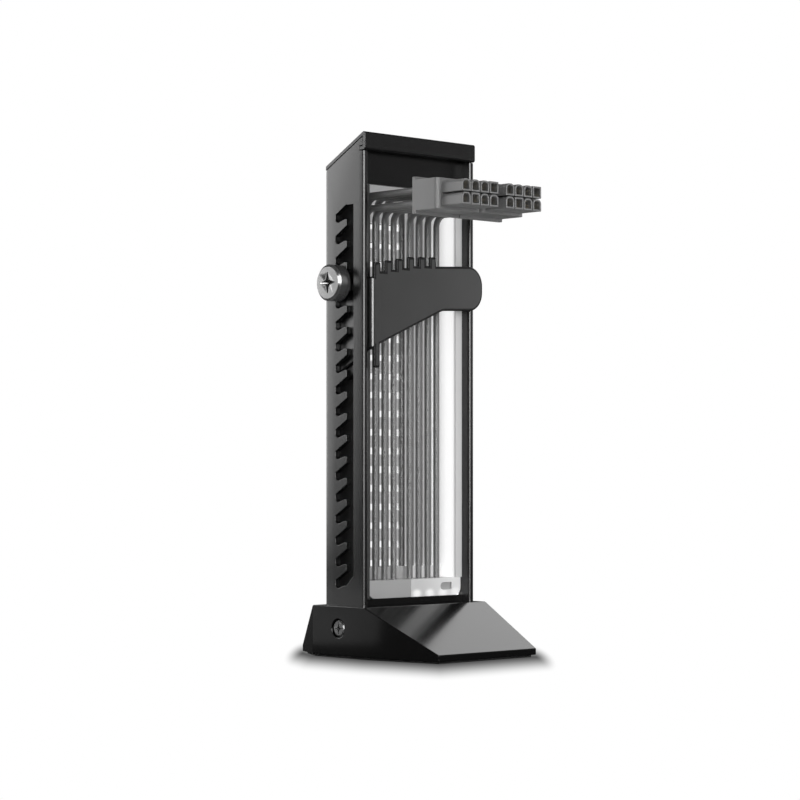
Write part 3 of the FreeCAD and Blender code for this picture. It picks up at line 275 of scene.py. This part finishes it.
# Rubber pad, floor plate and its screws
# A thin black rubber sheet under the foot, a zinc plated steel plate that closes the
# foot, and four countersunk screws that hold the plate.
RELIEF_DEPTH = 0.00005
CLOUD_SCALE = 90
SHADE_TO_GLOSS = 1.5


def make_surface(name, colour, roughness, metallic=0.0):
    """A named material with a Principled surface."""
    material = bpy.data.materials.new(name)
    material.use_nodes = True
    shader = material.node_tree.nodes["Principled BSDF"]
    shader.inputs["Base Color"].default_value = (*colour, 1)
    shader.inputs["Roughness"].default_value = roughness
    shader.inputs["Metallic"].default_value = metallic
    return material, shader


def grain_group():
    """Fine relief and uneven gloss that coated, moulded and ground surfaces share."""
    group = bpy.data.node_groups.new("fine_grain", "ShaderNodeTree")
    socket = group.interface.new_socket
    for label, kind, start in (("Colour", "NodeSocketColor", (0.5, 0.5, 0.5, 1)),
                               ("Roughness", "NodeSocketFloat", 0.5),
                               ("Scale", "NodeSocketFloat", 4000.0),
                               ("Relief", "NodeSocketFloat", 0.1),
                               ("Stretch", "NodeSocketVector", (1, 1, 1)),
                               ("Unevenness", "NodeSocketFloat", 0.05)):
        socket(name=label, in_out="INPUT", socket_type=kind).default_value = start
    socket(name="Colour", in_out="OUTPUT", socket_type="NodeSocketColor")
    socket(name="Roughness", in_out="OUTPUT", socket_type="NodeSocketFloat")
    socket(name="Normal", in_out="OUTPUT", socket_type="NodeSocketVector")
    nodes, link = group.nodes, group.links.new
    given = nodes.new("NodeGroupInput")
    result = nodes.new("NodeGroupOutput")
    place = nodes.new("ShaderNodeTexCoord")
    stretch = nodes.new("ShaderNodeVectorMath")
    stretch.operation = "MULTIPLY"
    link(place.outputs["Object"], stretch.inputs[0])
    link(given.outputs["Stretch"], stretch.inputs[1])

    fine = nodes.new("ShaderNodeTexNoise")
    fine.inputs["Detail"].default_value = 3
    link(stretch.outputs[0], fine.inputs["Vector"])
    link(given.outputs["Scale"], fine.inputs["Scale"])
    bump = nodes.new("ShaderNodeBump")
    bump.inputs["Distance"].default_value = RELIEF_DEPTH
    link(given.outputs["Relief"], bump.inputs["Strength"])
    link(fine.outputs["Fac"], bump.inputs["Height"])
    link(bump.outputs["Normal"], result.inputs["Normal"])

    broad = nodes.new("ShaderNodeTexNoise")
    broad.inputs["Scale"].default_value = CLOUD_SCALE
    broad.inputs["Detail"].default_value = 5
    link(place.outputs["Object"], broad.inputs["Vector"])
    centred = nodes.new("ShaderNodeMath")
    centred.operation = "SUBTRACT"
    centred.inputs[1].default_value = 0.5
    link(broad.outputs["Fac"], centred.inputs[0])
    amount = nodes.new("ShaderNodeMath")
    amount.operation = "MULTIPLY"
    link(centred.outputs[0], amount.inputs[0])
    link(given.outputs["Unevenness"], amount.inputs[1])
    rough = nodes.new("ShaderNodeMath")
    rough.operation = "ADD"
    link(given.outputs["Roughness"], rough.inputs[0])
    link(amount.outputs[0], rough.inputs[1])
    link(rough.outputs[0], result.inputs["Roughness"])

    lighter = nodes.new("ShaderNodeMath")
    lighter.operation = "MULTIPLY_ADD"
    lighter.inputs[1].default_value = SHADE_TO_GLOSS
    lighter.inputs[2].default_value = 1.0
    link(amount.outputs[0], lighter.inputs[0])
    shade = nodes.new("ShaderNodeVectorMath")
    shade.operation = "SCALE"
    link(given.outputs["Colour"], shade.inputs[0])
    link(lighter.outputs[0], shade.inputs["Scale"])
    link(shade.outputs[0], result.inputs["Colour"])
    return group


fine_grain = grain_group()


def add_grain(material, shader, scale, relief, unevenness=0.05, stretch=(1, 1, 1)):
    """Put the fine grain group in front of a material's surface."""
    tree = material.node_tree
    grain = tree.nodes.new("ShaderNodeGroup")
    grain.node_tree = fine_grain
    grain.inputs["Colour"].default_value = shader.inputs["Base Color"].default_value
    grain.inputs["Roughness"].default_value = shader.inputs["Roughness"].default_value
    grain.inputs["Scale"].default_value = scale
    grain.inputs["Relief"].default_value = relief
    grain.inputs["Unevenness"].default_value = unevenness
    grain.inputs["Stretch"].default_value = stretch
    tree.links.new(grain.outputs["Colour"], shader.inputs["Base Color"])
    tree.links.new(grain.outputs["Roughness"], shader.inputs["Roughness"])
    tree.links.new(grain.outputs["Normal"], shader.inputs["Normal"])


def dress(name, material):
    """Give a node of the frame its finish."""
    node = frame["nodes"][name]
    node.data.materials.clear()
    node.data.materials.append(material)


pad_rubber, shader = make_surface("pad_rubber", (0.014, 0.014, 0.014), roughness=0.8)
shader.inputs["Specular IOR Level"].default_value = 0.25
add_grain(pad_rubber, shader, scale=1800, relief=0.6)
dress("rubber_pad", pad_rubber)

zinc, shader = make_surface("zinc_steel", (0.55, 0.56, 0.58), roughness=0.35, metallic=1.0)
add_grain(zinc, shader, scale=900, relief=0.2, unevenness=0.2)
dress("base_floor_plate", zinc)
dress("floor_plate_screws", zinc)


# Foot
# One black moulding with a smooth face. Its long front ramp mirrors the room and the
# lit column, and its edges carry a fine light line because they are slightly rounded.
MERGE = 1e-6
FLAT_ANGLE = math.radians(0.3)
FOOT_EDGE = 0.00025


def soft_edged(name, material, width, segments=2, angle=30, edge_material=None):
    """A copy of a frame node with its sharp edges rounded, perhaps in a second material."""
    node = frame["nodes"][name]
    body = body_of(node)[0]
    copy = node.copy()
    copy.data = node.data.copy()
    copy.name = f"{name}_finish"
    for key in list(copy.keys()):
        if key.startswith("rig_"):
            del copy[key]
    scene.collection.objects.link(copy)
    bpy.ops.object.select_all(action="DESELECT")
    bpy.context.view_layer.objects.active = copy
    copy.select_set(True)
    bpy.ops.mesh.customdata_custom_splitnormals_clear()
    bpy.ops.object.mode_set(mode="EDIT")
    bpy.ops.mesh.select_all(action="SELECT")
    bpy.ops.mesh.remove_doubles(threshold=MERGE)
    bpy.ops.mesh.dissolve_limited(angle_limit=FLAT_ANGLE)
    bpy.ops.object.mode_set(mode="OBJECT")
    bpy.ops.object.shade_smooth_by_angle(angle=math.radians(angle))
    copy.data.materials.clear()
    copy.data.materials.append(material)
    if edge_material:
        copy.data.materials.append(edge_material)
    bpy.ops.object.modifier_add(type="BEVEL")
    bevel = copy.modifiers[-1]
    bevel.width = width
    bevel.segments = segments
    bevel.limit_method = "ANGLE"
    bevel.angle_limit = math.radians(angle)
    bevel.use_clamp_overlap = False
    bevel.harden_normals = True
    bevel.material = 1 if edge_material else -1
    bpy.ops.object.modifier_apply(modifier=bevel.name)
    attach(copy, body)
    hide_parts(name)
    return copy


foot_black, shader = make_surface("foot_black", (0.005, 0.005, 0.005), roughness=0.15)
shader.inputs["Specular IOR Level"].default_value = 0.3
add_grain(foot_black, shader, scale=2500, relief=0.01, unevenness=0.03)
soft_edged("base_shell", foot_black, FOOT_EDGE, angle=18)


# Column and lid
# Folded sheet steel under a satin black powder coat. The lid hooks over the side walls.
# Black sheets close the window above and below, and a plate stands behind the slot.
COLUMN_EDGE = 0.00015
column_black, shader = make_surface("column_black", (0.007, 0.007, 0.007), roughness=0.25)
add_grain(column_black, shader, scale=5000, relief=0.06, unevenness=0.04)
soft_edged("column_shell", column_black, COLUMN_EDGE)
soft_edged("top_cap", column_black, COLUMN_EDGE)

inner_black, shader = make_surface("inner_black", (0.005, 0.005, 0.005), roughness=0.25)
shader.inputs["Specular IOR Level"].default_value = 0.35
add_grain(inner_black, shader, scale=3000, relief=0.03)
for name in ("header_plate", "sill_plate"):
    dress(name, inner_black)

shield_grey, shader = make_surface("shield_grey", (0.05, 0.05, 0.05), roughness=0.4)
add_grain(shield_grey, shader, scale=3000, relief=0.03)
dress("slot_shield", shield_grey)


# Socket carrier, lamp board and lamps
# A black moulding inside the foot carries the blocks and a dark circuit board. Four lamps
# under clear lenses are soldered to the board.
LAMP_GLOW = 1.5
carrier_black, shader = make_surface("carrier_black", (0.02, 0.02, 0.02), roughness=0.5)
add_grain(carrier_black, shader, scale=1500, relief=0.2)
dress("socket_carrier", carrier_black)

board_green, shader = make_surface("board_mask", (0.01, 0.02, 0.015), roughness=0.3)
add_grain(board_green, shader, scale=2000, relief=0.1)
dress("lamp_board", board_green)

lamp_clear, shader = make_surface("lamp_lens", (0.95, 0.95, 0.9), roughness=0.1)
shader.inputs["Emission Color"].default_value = (1, 1, 1, 1)
shader.inputs["Emission Strength"].default_value = LAMP_GLOW
add_grain(lamp_clear, shader, scale=800, relief=0.05)
dress("lamps", lamp_clear)


# Light diffuser
# A milky moulding that carries the lamps' light up the right side of the window. Its glow is
# partly that light and partly painted light and shade: the side wall glows white and dims
# towards the back, the panel behind the wires glows less than that wall, and the wall's
# front edge least.
GLOW_SIDE = 0.75
GLOW_DEEP = 0.3
GLOW_EDGE = 0.12
GLOW_PANEL = 0.26
WALL_THICKNESS = 0.003
WALL_FADE_START = -0.002
WALL_FADE_END = 0.0045
EDGE_DEPTH = 0.0015
PANEL_FADE = 0.0022


def glow_group():
    """Emission that rises from one level to another between two places along an axis."""
    group = bpy.data.node_groups.new("glow_step", "ShaderNodeTree")
    socket = group.interface.new_socket
    for label, kind in (("Place", "NodeSocketFloat"), ("Start", "NodeSocketFloat"),
                        ("End", "NodeSocketFloat"), ("Low", "NodeSocketColor"),
                        ("High", "NodeSocketColor")):
        socket(name=label, in_out="INPUT", socket_type=kind)
    socket(name="Glow", in_out="OUTPUT", socket_type="NodeSocketColor")
    nodes, link = group.nodes, group.links.new
    given = nodes.new("NodeGroupInput")
    result = nodes.new("NodeGroupOutput")
    share = nodes.new("ShaderNodeMapRange")
    share.interpolation_type = "SMOOTHSTEP"
    for label, target in (("Place", "Value"), ("Start", "From Min"), ("End", "From Max")):
        link(given.outputs[label], share.inputs[target])
    # A Mix node's colours go in at 6 and 7, and its mixed colour comes out at 2.
    mix = nodes.new("ShaderNodeMix")
    mix.data_type = "RGBA"
    link(share.outputs["Result"], mix.inputs["Factor"])
    link(given.outputs["Low"], mix.inputs[6])
    link(given.outputs["High"], mix.inputs[7])
    link(mix.outputs[2], result.inputs["Glow"])
    return group


glow_step = glow_group()


def add_glow(tree, place, start, end, low, high):
    """One step of glow; low and high are levels or linked colours."""
    node = tree.nodes.new("ShaderNodeGroup")
    node.node_tree = glow_step
    tree.links.new(place, node.inputs["Place"])
    node.inputs["Start"].default_value = start
    node.inputs["End"].default_value = end
    for label, value in (("Low", low), ("High", high)):
        if isinstance(value, (int, float)):
            node.inputs[label].default_value = (value, value, value, 1)
        else:
            tree.links.new(value, node.inputs[label])
    return node.outputs["Glow"]


def milky_surface(name, grey):
    """Milky plastic with its emission switched on, for painted light."""
    material, shader = make_surface(name, (grey, grey, grey), roughness=0.3)
    shader.inputs["Emission Strength"].default_value = 1.0
    add_grain(material, shader, scale=900, relief=0.06)
    place = material.node_tree.nodes.new("ShaderNodeTexCoord")
    parts = material.node_tree.nodes.new("ShaderNodeSeparateXYZ")
    material.node_tree.links.new(place.outputs["Object"], parts.inputs["Vector"])
    return material, shader, parts


diffuser_low, diffuser_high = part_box("light_diffuser")
milky, shader, parts = milky_surface("milky_painted_glow", 0.72)
tree = milky.node_tree
# Painted light and shade: the glow steps down from the white side wall towards the back, the panel
# behind the wires and the wall's front edge.
side_start = diffuser_high.x - WALL_THICKNESS
side = add_glow(tree, parts.outputs["Y"], WALL_FADE_START, WALL_FADE_END, GLOW_SIDE, GLOW_DEEP)
edge = add_glow(tree, parts.outputs["Y"], diffuser_low.y, diffuser_low.y + EDGE_DEPTH, GLOW_EDGE, side)
glow = add_glow(tree, parts.outputs["X"], side_start - PANEL_FADE, side_start, GLOW_PANEL, edge)
tree.links.new(glow, shader.inputs["Emission Color"])
dress("light_diffuser", milky)


# Socket blocks and their pins
# A grey moulding at the left and a milky one at the right, which sit on the carrier. Their
# glow is painted light: the milky front glows more to the right and most over the lamps,
# but not in its recess, and the step between the rows of wires glows on both. The contacts
# are plated brass.
LAMP_FIRST = 0.0028
LAMP_PITCH = 0.0061
LAMP_SPOT = 0.0016
LAMP_SPOT_HEIGHT = 0.0011
SPOT_RISE = 0.0010
SPOT_INNER = 0.2
SPOT_OUTER = 1.9
RECESS_START = 0.0002
BLOCK_GLOW = 0.2
BLOCK_GLOW_RIGHT = 0.42
SPOT_GLOW = 0.62
STEP_RISE = 0.0059
STEP_BLEND = 0.0002
STEP_FADE = 0.0028
STEP_GLOW = 0.17
STEP_GLOW_SEAM = STEP_GLOW / 3
STEP_GLOW_RIGHT = 0.4

block_low, block_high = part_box("socket_block_right")
step = block_low.z + STEP_RISE
block_grey, shader, parts = milky_surface("block_grey", 0.5)
# Painted light: the grey block glows only on the step between the rows of wires.
glow = add_glow(block_grey.node_tree, parts.outputs["Z"], step, step + STEP_BLEND, 0.0, STEP_GLOW)
block_grey.node_tree.links.new(glow, shader.inputs["Emission Color"])
dress("socket_block_left", block_grey)

block_milky, shader, parts = milky_surface("block_milky", 0.5)
tree = block_milky.node_tree
link = tree.links.new
# Painted light on the milky front: a pool over each lamp, more glow to the right, none in the recess,
# and a glowing step.
shifted = number_node("SUBTRACT", parts.outputs["X"], LAMP_FIRST - LAMP_PITCH / 2)
wrapped = number_node("PINGPONG", shifted, LAMP_PITCH / 2)
across = number_node("DIVIDE", number_node("SUBTRACT", wrapped, LAMP_PITCH / 2), LAMP_SPOT)
upwards = number_node("SUBTRACT", parts.outputs["Z"], block_low.z + SPOT_RISE)
upwards = number_node("DIVIDE", upwards, LAMP_SPOT_HEIGHT)
squares = number_node("ADD", number_node("MULTIPLY", across, across),
                      number_node("MULTIPLY", upwards, upwards))
away = number_node("SQRT", squares)
glow = add_glow(tree, parts.outputs["X"], LAMP_FIRST, block_high.x, BLOCK_GLOW, BLOCK_GLOW_RIGHT)
glow = add_glow(tree, away, SPOT_INNER, SPOT_OUTER, SPOT_GLOW, glow)
recess = block_low.y + RECESS_START
glow = add_glow(tree, parts.outputs["Y"], recess, recess + RECESS_START, glow, 0.0)
step_level = add_glow(tree, parts.outputs["X"], STEP_FADE, 2 * STEP_FADE,
                      STEP_GLOW_SEAM, STEP_GLOW_RIGHT)
glow = add_glow(tree, parts.outputs["Z"], step, step + STEP_BLEND, glow, step_level)
link(glow, shader.inputs["Emission Color"])
dress("socket_block_right", block_milky)

contact_tin, shader = make_surface("contact_tin", (0.78, 0.66, 0.42), roughness=0.25, metallic=1.0)
add_grain(contact_tin, shader, scale=2500, relief=0.1, unevenness=0.1)
for name in ("socket_pins_left", "socket_pins_right", "plug_contacts_left", "plug_contacts_right"):
    dress(name, contact_tin)


# Wires
# Sixteen stiff copper wires in smooth grey insulation. Each stands in a socket block and
# bends forward into the hood of a plug.
jacket_grey, shader = make_surface("jacket_grey", (0.2, 0.2, 0.2), roughness=0.42)
add_grain(jacket_grey, shader, scale=1200, relief=0.003, unevenness=0.03, stretch=(1, 1, 0.1))
for side in ("left", "right"):
    for row in ("front", "back"):
        for number in range(1, 5):
            dress(f"wire_{side}_{row}_{number}", jacket_grey)


# Plugs
# Each is two mid grey nylon mouldings: a hood with a rim that takes the wires, and a nose
# of eight keyed tubes in front of it.
HOOD_EDGE = 0.0002
NOSE_EDGE = 0.00012
plug_grey, shader = make_surface("plug_grey", (0.2, 0.2, 0.2), roughness=0.5)
add_grain(plug_grey, shader, scale=1500, relief=0.2, unevenness=0.06)
for side in ("left", "right"):
    soft_edged(f"plug_hood_{side}", plug_grey, HOOD_EDGE)
    soft_edged(f"plug_nose_{side}", plug_grey, NOSE_EDGE)


# Support arm and nut plate
# One bent steel sheet under a satin dark metallic coat, with a nut plate behind its flange.
# Its rounded edges and the rim of its face carry painted shade in a darker material.
ARM_EDGE = 0.0005
PAINTED_SHADE_RIM = 0.0003
RIM_MERGE = 0.0003
FRONT_FACING = -0.9999
FRONT_REACH = 1e-5
arm_dark, shader = make_surface("arm_dark", (0.1, 0.1, 0.1), roughness=0.4, metallic=1.0)
add_grain(arm_dark, shader, scale=5000, relief=0.08)
# Painted shade: a near black material for the arm's rounded edges and a rim round its face.
arm_painted_shade, shader = make_surface("arm_painted_shade", (0.012, 0.012, 0.012), roughness=0.5)
shader.inputs["Specular IOR Level"].default_value = 0.15
add_grain(arm_painted_shade, shader, scale=5000, relief=0.08)
arm = soft_edged("support_arm", arm_dark, ARM_EDGE, segments=3,
                 edge_material=arm_painted_shade)
front = min(vertex.co.y for vertex in arm.data.vertices)
bpy.ops.object.mode_set(mode="EDIT")
bpy.ops.mesh.select_mode(type="FACE")
bpy.ops.mesh.select_all(action="DESELECT")
bpy.ops.object.mode_set(mode="OBJECT")
for polygon in arm.data.polygons:
    polygon.select = polygon.normal.y < FRONT_FACING and polygon.center.y < front + FRONT_REACH
bpy.ops.object.mode_set(mode="EDIT")
bpy.ops.mesh.remove_doubles(threshold=RIM_MERGE)
# The front face's rim keeps the painted shade material, and its middle takes the coat again.
arm.active_material_index = 1
bpy.ops.object.material_slot_assign()
bpy.ops.mesh.inset(thickness=PAINTED_SHADE_RIM)
arm.active_material_index = 0
bpy.ops.object.material_slot_assign()
bpy.ops.object.mode_set(mode="OBJECT")
dress("nut_plate", arm_dark)


# Clamp screw and washer
# A turned steel screw. Its wide head has a bevel round a flat face, a tapered cross recess
# and four fine score lines between the arms of the cross. Its washer is the same width.
KNOB_BEVEL = 0.0008
SHANK_RADIUS = 0.0012
PLAY = 0.00002
CROSS_SPAN = 1.16
CROSS_WIDTH = 0.0021
CROSS_DEPTH = 0.0024
SCORE_SPAN = 0.84
SCORE_WIDTH = 0.00032
SCORE_DEPTH = 0.0005
BLADE_TAPER = 0.85
BLADE_SLOPE = 0.5
BLADE_SHORTENING = 0.45
LEFT_FACING = -0.9


def tapered_blade(width, length, depth, place, turn):
    """A cutter for one slot of a recess, narrower at both ends and at the bottom."""
    bpy.ops.object.select_all(action="DESELECT")
    bpy.ops.mesh.primitive_cube_add(size=1, location=place, scale=(2 * depth, length, width))
    blade = bpy.context.object
    bpy.ops.object.transform_apply(location=False, rotation=False, scale=True)
    bpy.ops.object.mode_set(mode="EDIT")
    bpy.ops.mesh.select_all(action="SELECT")
    bpy.ops.mesh.subdivide(number_cuts=3)
    bpy.ops.object.mode_set(mode="OBJECT")
    for vertex in blade.data.vertices:
        away = abs(vertex.co.y) / (length / 2)
        deep = max(0.0, vertex.co.x) / depth
        vertex.co.z *= (1 - BLADE_TAPER * away) * (1 - BLADE_SLOPE * deep)
        vertex.co.y *= 1 - BLADE_SHORTENING * deep
    blade.rotation_euler = (turn, 0, 0)
    bpy.ops.object.transform_apply(location=False, rotation=True, scale=False)
    return blade


def cut_recess(head, face, centre, length, width, depth, score_length, score_width, score_depth):
    """Cut a cross recess with score lines between its arms into a head's left face."""
    place = (face, centre[0], centre[1])
    cutters = []
    for turn in (0, math.radians(90)):
        cutters.append(tapered_blade(width, length, depth, place, turn))
    for turn in (math.radians(45), math.radians(135)):
        cutters.append(tapered_blade(score_width, score_length, score_depth, place, turn))
    for cutter in cutters:
        bpy.ops.object.select_all(action="DESELECT")
        bpy.context.view_layer.objects.active = head
        head.select_set(True)
        bpy.ops.object.modifier_add(type="BOOLEAN")
        boolean = head.modifiers[-1]
        boolean.operation = "DIFFERENCE"
        boolean.solver = "EXACT"
        boolean.object = cutter
        bpy.ops.object.modifier_apply(modifier=boolean.name)
        bpy.data.objects.remove(cutter)


def turned_head(name, radius, face, back, centre, bevel, sides=72):
    """A disc from face to back along X with a bevel round its left face."""
    bpy.ops.object.select_all(action="DESELECT")
    bpy.ops.mesh.primitive_cylinder_add(vertices=sides, radius=radius, depth=back - face,
                                        location=((face + back) / 2, centre[0], centre[1]),
                                        rotation=(0, math.radians(90), 0))
    head = bpy.context.object
    head.name = name
    bpy.ops.object.transform_apply(location=True, rotation=True, scale=True)
    bpy.ops.object.mode_set(mode="EDIT")
    bpy.ops.mesh.select_mode(type="FACE")
    bpy.ops.mesh.select_all(action="DESELECT")
    bpy.ops.object.mode_set(mode="OBJECT")
    for polygon in head.data.polygons:
        polygon.select = polygon.normal.x < LEFT_FACING
    bpy.ops.object.mode_set(mode="EDIT")
    bpy.ops.mesh.bevel(offset=bevel, segments=1, affect="EDGES")
    bpy.ops.object.mode_set(mode="OBJECT")
    return head


def add_shank(head, radius, start, end, centre, sides):
    """Join a plain shank that runs along X to a head."""
    bpy.ops.object.select_all(action="DESELECT")
    bpy.ops.mesh.primitive_cylinder_add(vertices=sides, radius=radius, depth=end - start,
                                        location=((start + end) / 2, centre[0], centre[1]),
                                        rotation=(0, math.radians(90), 0))
    head.select_set(True)
    bpy.context.view_layer.objects.active = head
    bpy.ops.object.join()


def finish_turned(piece, material, slot, body, *nodes):
    """Close a turned piece's seams, shade it, give it its material, and let it ride."""
    bpy.ops.object.select_all(action="DESELECT")
    bpy.context.view_layer.objects.active = piece
    piece.select_set(True)
    bpy.ops.object.transform_apply(location=True, rotation=True, scale=True)
    bpy.ops.object.mode_set(mode="EDIT")
    bpy.ops.mesh.select_all(action="SELECT")
    bpy.ops.mesh.remove_doubles(threshold=2 * MERGE)
    bpy.ops.mesh.dissolve_degenerate(threshold=2 * MERGE)
    bpy.ops.object.mode_set(mode="OBJECT")
    bpy.ops.object.shade_smooth_by_angle(angle=math.radians(25))
    piece.data.materials.clear()
    piece.data.materials.append(material)
    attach(piece, body)
    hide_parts(*nodes)


screw_steel, shader = make_surface("screw_steel", (0.2, 0.2, 0.2), roughness=0.22, metallic=0.7)
add_grain(screw_steel, shader, scale=900, relief=0.12, unevenness=0.08)
dark_steel, shader = make_surface("dark_steel", (0.12, 0.12, 0.12), roughness=0.3, metallic=0.5)
add_grain(dark_steel, shader, scale=900, relief=0.1, unevenness=0.1)

screw_low, screw_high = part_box("thumb_screw")
washer_low, washer_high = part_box("thumb_washer")
screw_centre = ((washer_low.y + washer_high.y) / 2, (washer_low.z + washer_high.z) / 2)
knob_radius = (washer_high.y - washer_low.y) / 2
knob = turned_head("clamp_screw_head", knob_radius, screw_low.x, washer_low.x - PLAY,
                   screw_centre, KNOB_BEVEL)
cut_recess(knob, screw_low.x, screw_centre, CROSS_SPAN * knob_radius, CROSS_WIDTH, CROSS_DEPTH,
           SCORE_SPAN * knob_radius, SCORE_WIDTH, SCORE_DEPTH)
add_shank(knob, SHANK_RADIUS, washer_low.x, screw_high.x, screw_centre, sides=32)
finish_turned(knob, screw_steel, "bright_steel", "thumb_screw", "thumb_screw")
dress("thumb_washer", dark_steel)


# Side screws
# A black steel screw with a cross recess on each side, sunk in a round recess of the foot.
# It holds the foot to the column. The right one is the left one turned round.
SIDE_BEVEL = 0.00045
SIDE_HEAD_DEPTH = 0.002
SIDE_SHANK_RADIUS = 0.0014
SIDE_SHANK_START = 0.0015
SIDE_CROSS_SPAN = 1.45
SIDE_CROSS_WIDTH = 0.001
SIDE_CROSS_DEPTH = 0.0012
SIDE_SCORE_SPAN = 0.9
SIDE_SCORE_WIDTH = 0.0002
SIDE_SCORE_DEPTH = 0.0003

low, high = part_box("base_screw_left")
centre = ((low.y + high.y) / 2, (low.z + high.z) / 2)
radius = (high.y - low.y) / 2
for side, turn in (("left", 0), ("right", math.radians(180))):
    head = turned_head(f"side_screw_{side}", radius, low.x, low.x + SIDE_HEAD_DEPTH, centre,
                       SIDE_BEVEL, sides=48)
    cut_recess(head, low.x, centre, SIDE_CROSS_SPAN * radius, SIDE_CROSS_WIDTH, SIDE_CROSS_DEPTH,
               SIDE_SCORE_SPAN * radius, SIDE_SCORE_WIDTH, SIDE_SCORE_DEPTH)
    add_shank(head, SIDE_SHANK_RADIUS, low.x + SIDE_SHANK_START, high.x, centre, sides=24)
    head.rotation_euler = (0, 0, turn)
    finish_turned(head, dark_steel, "black_steel", "stand", f"base_screw_{side}")
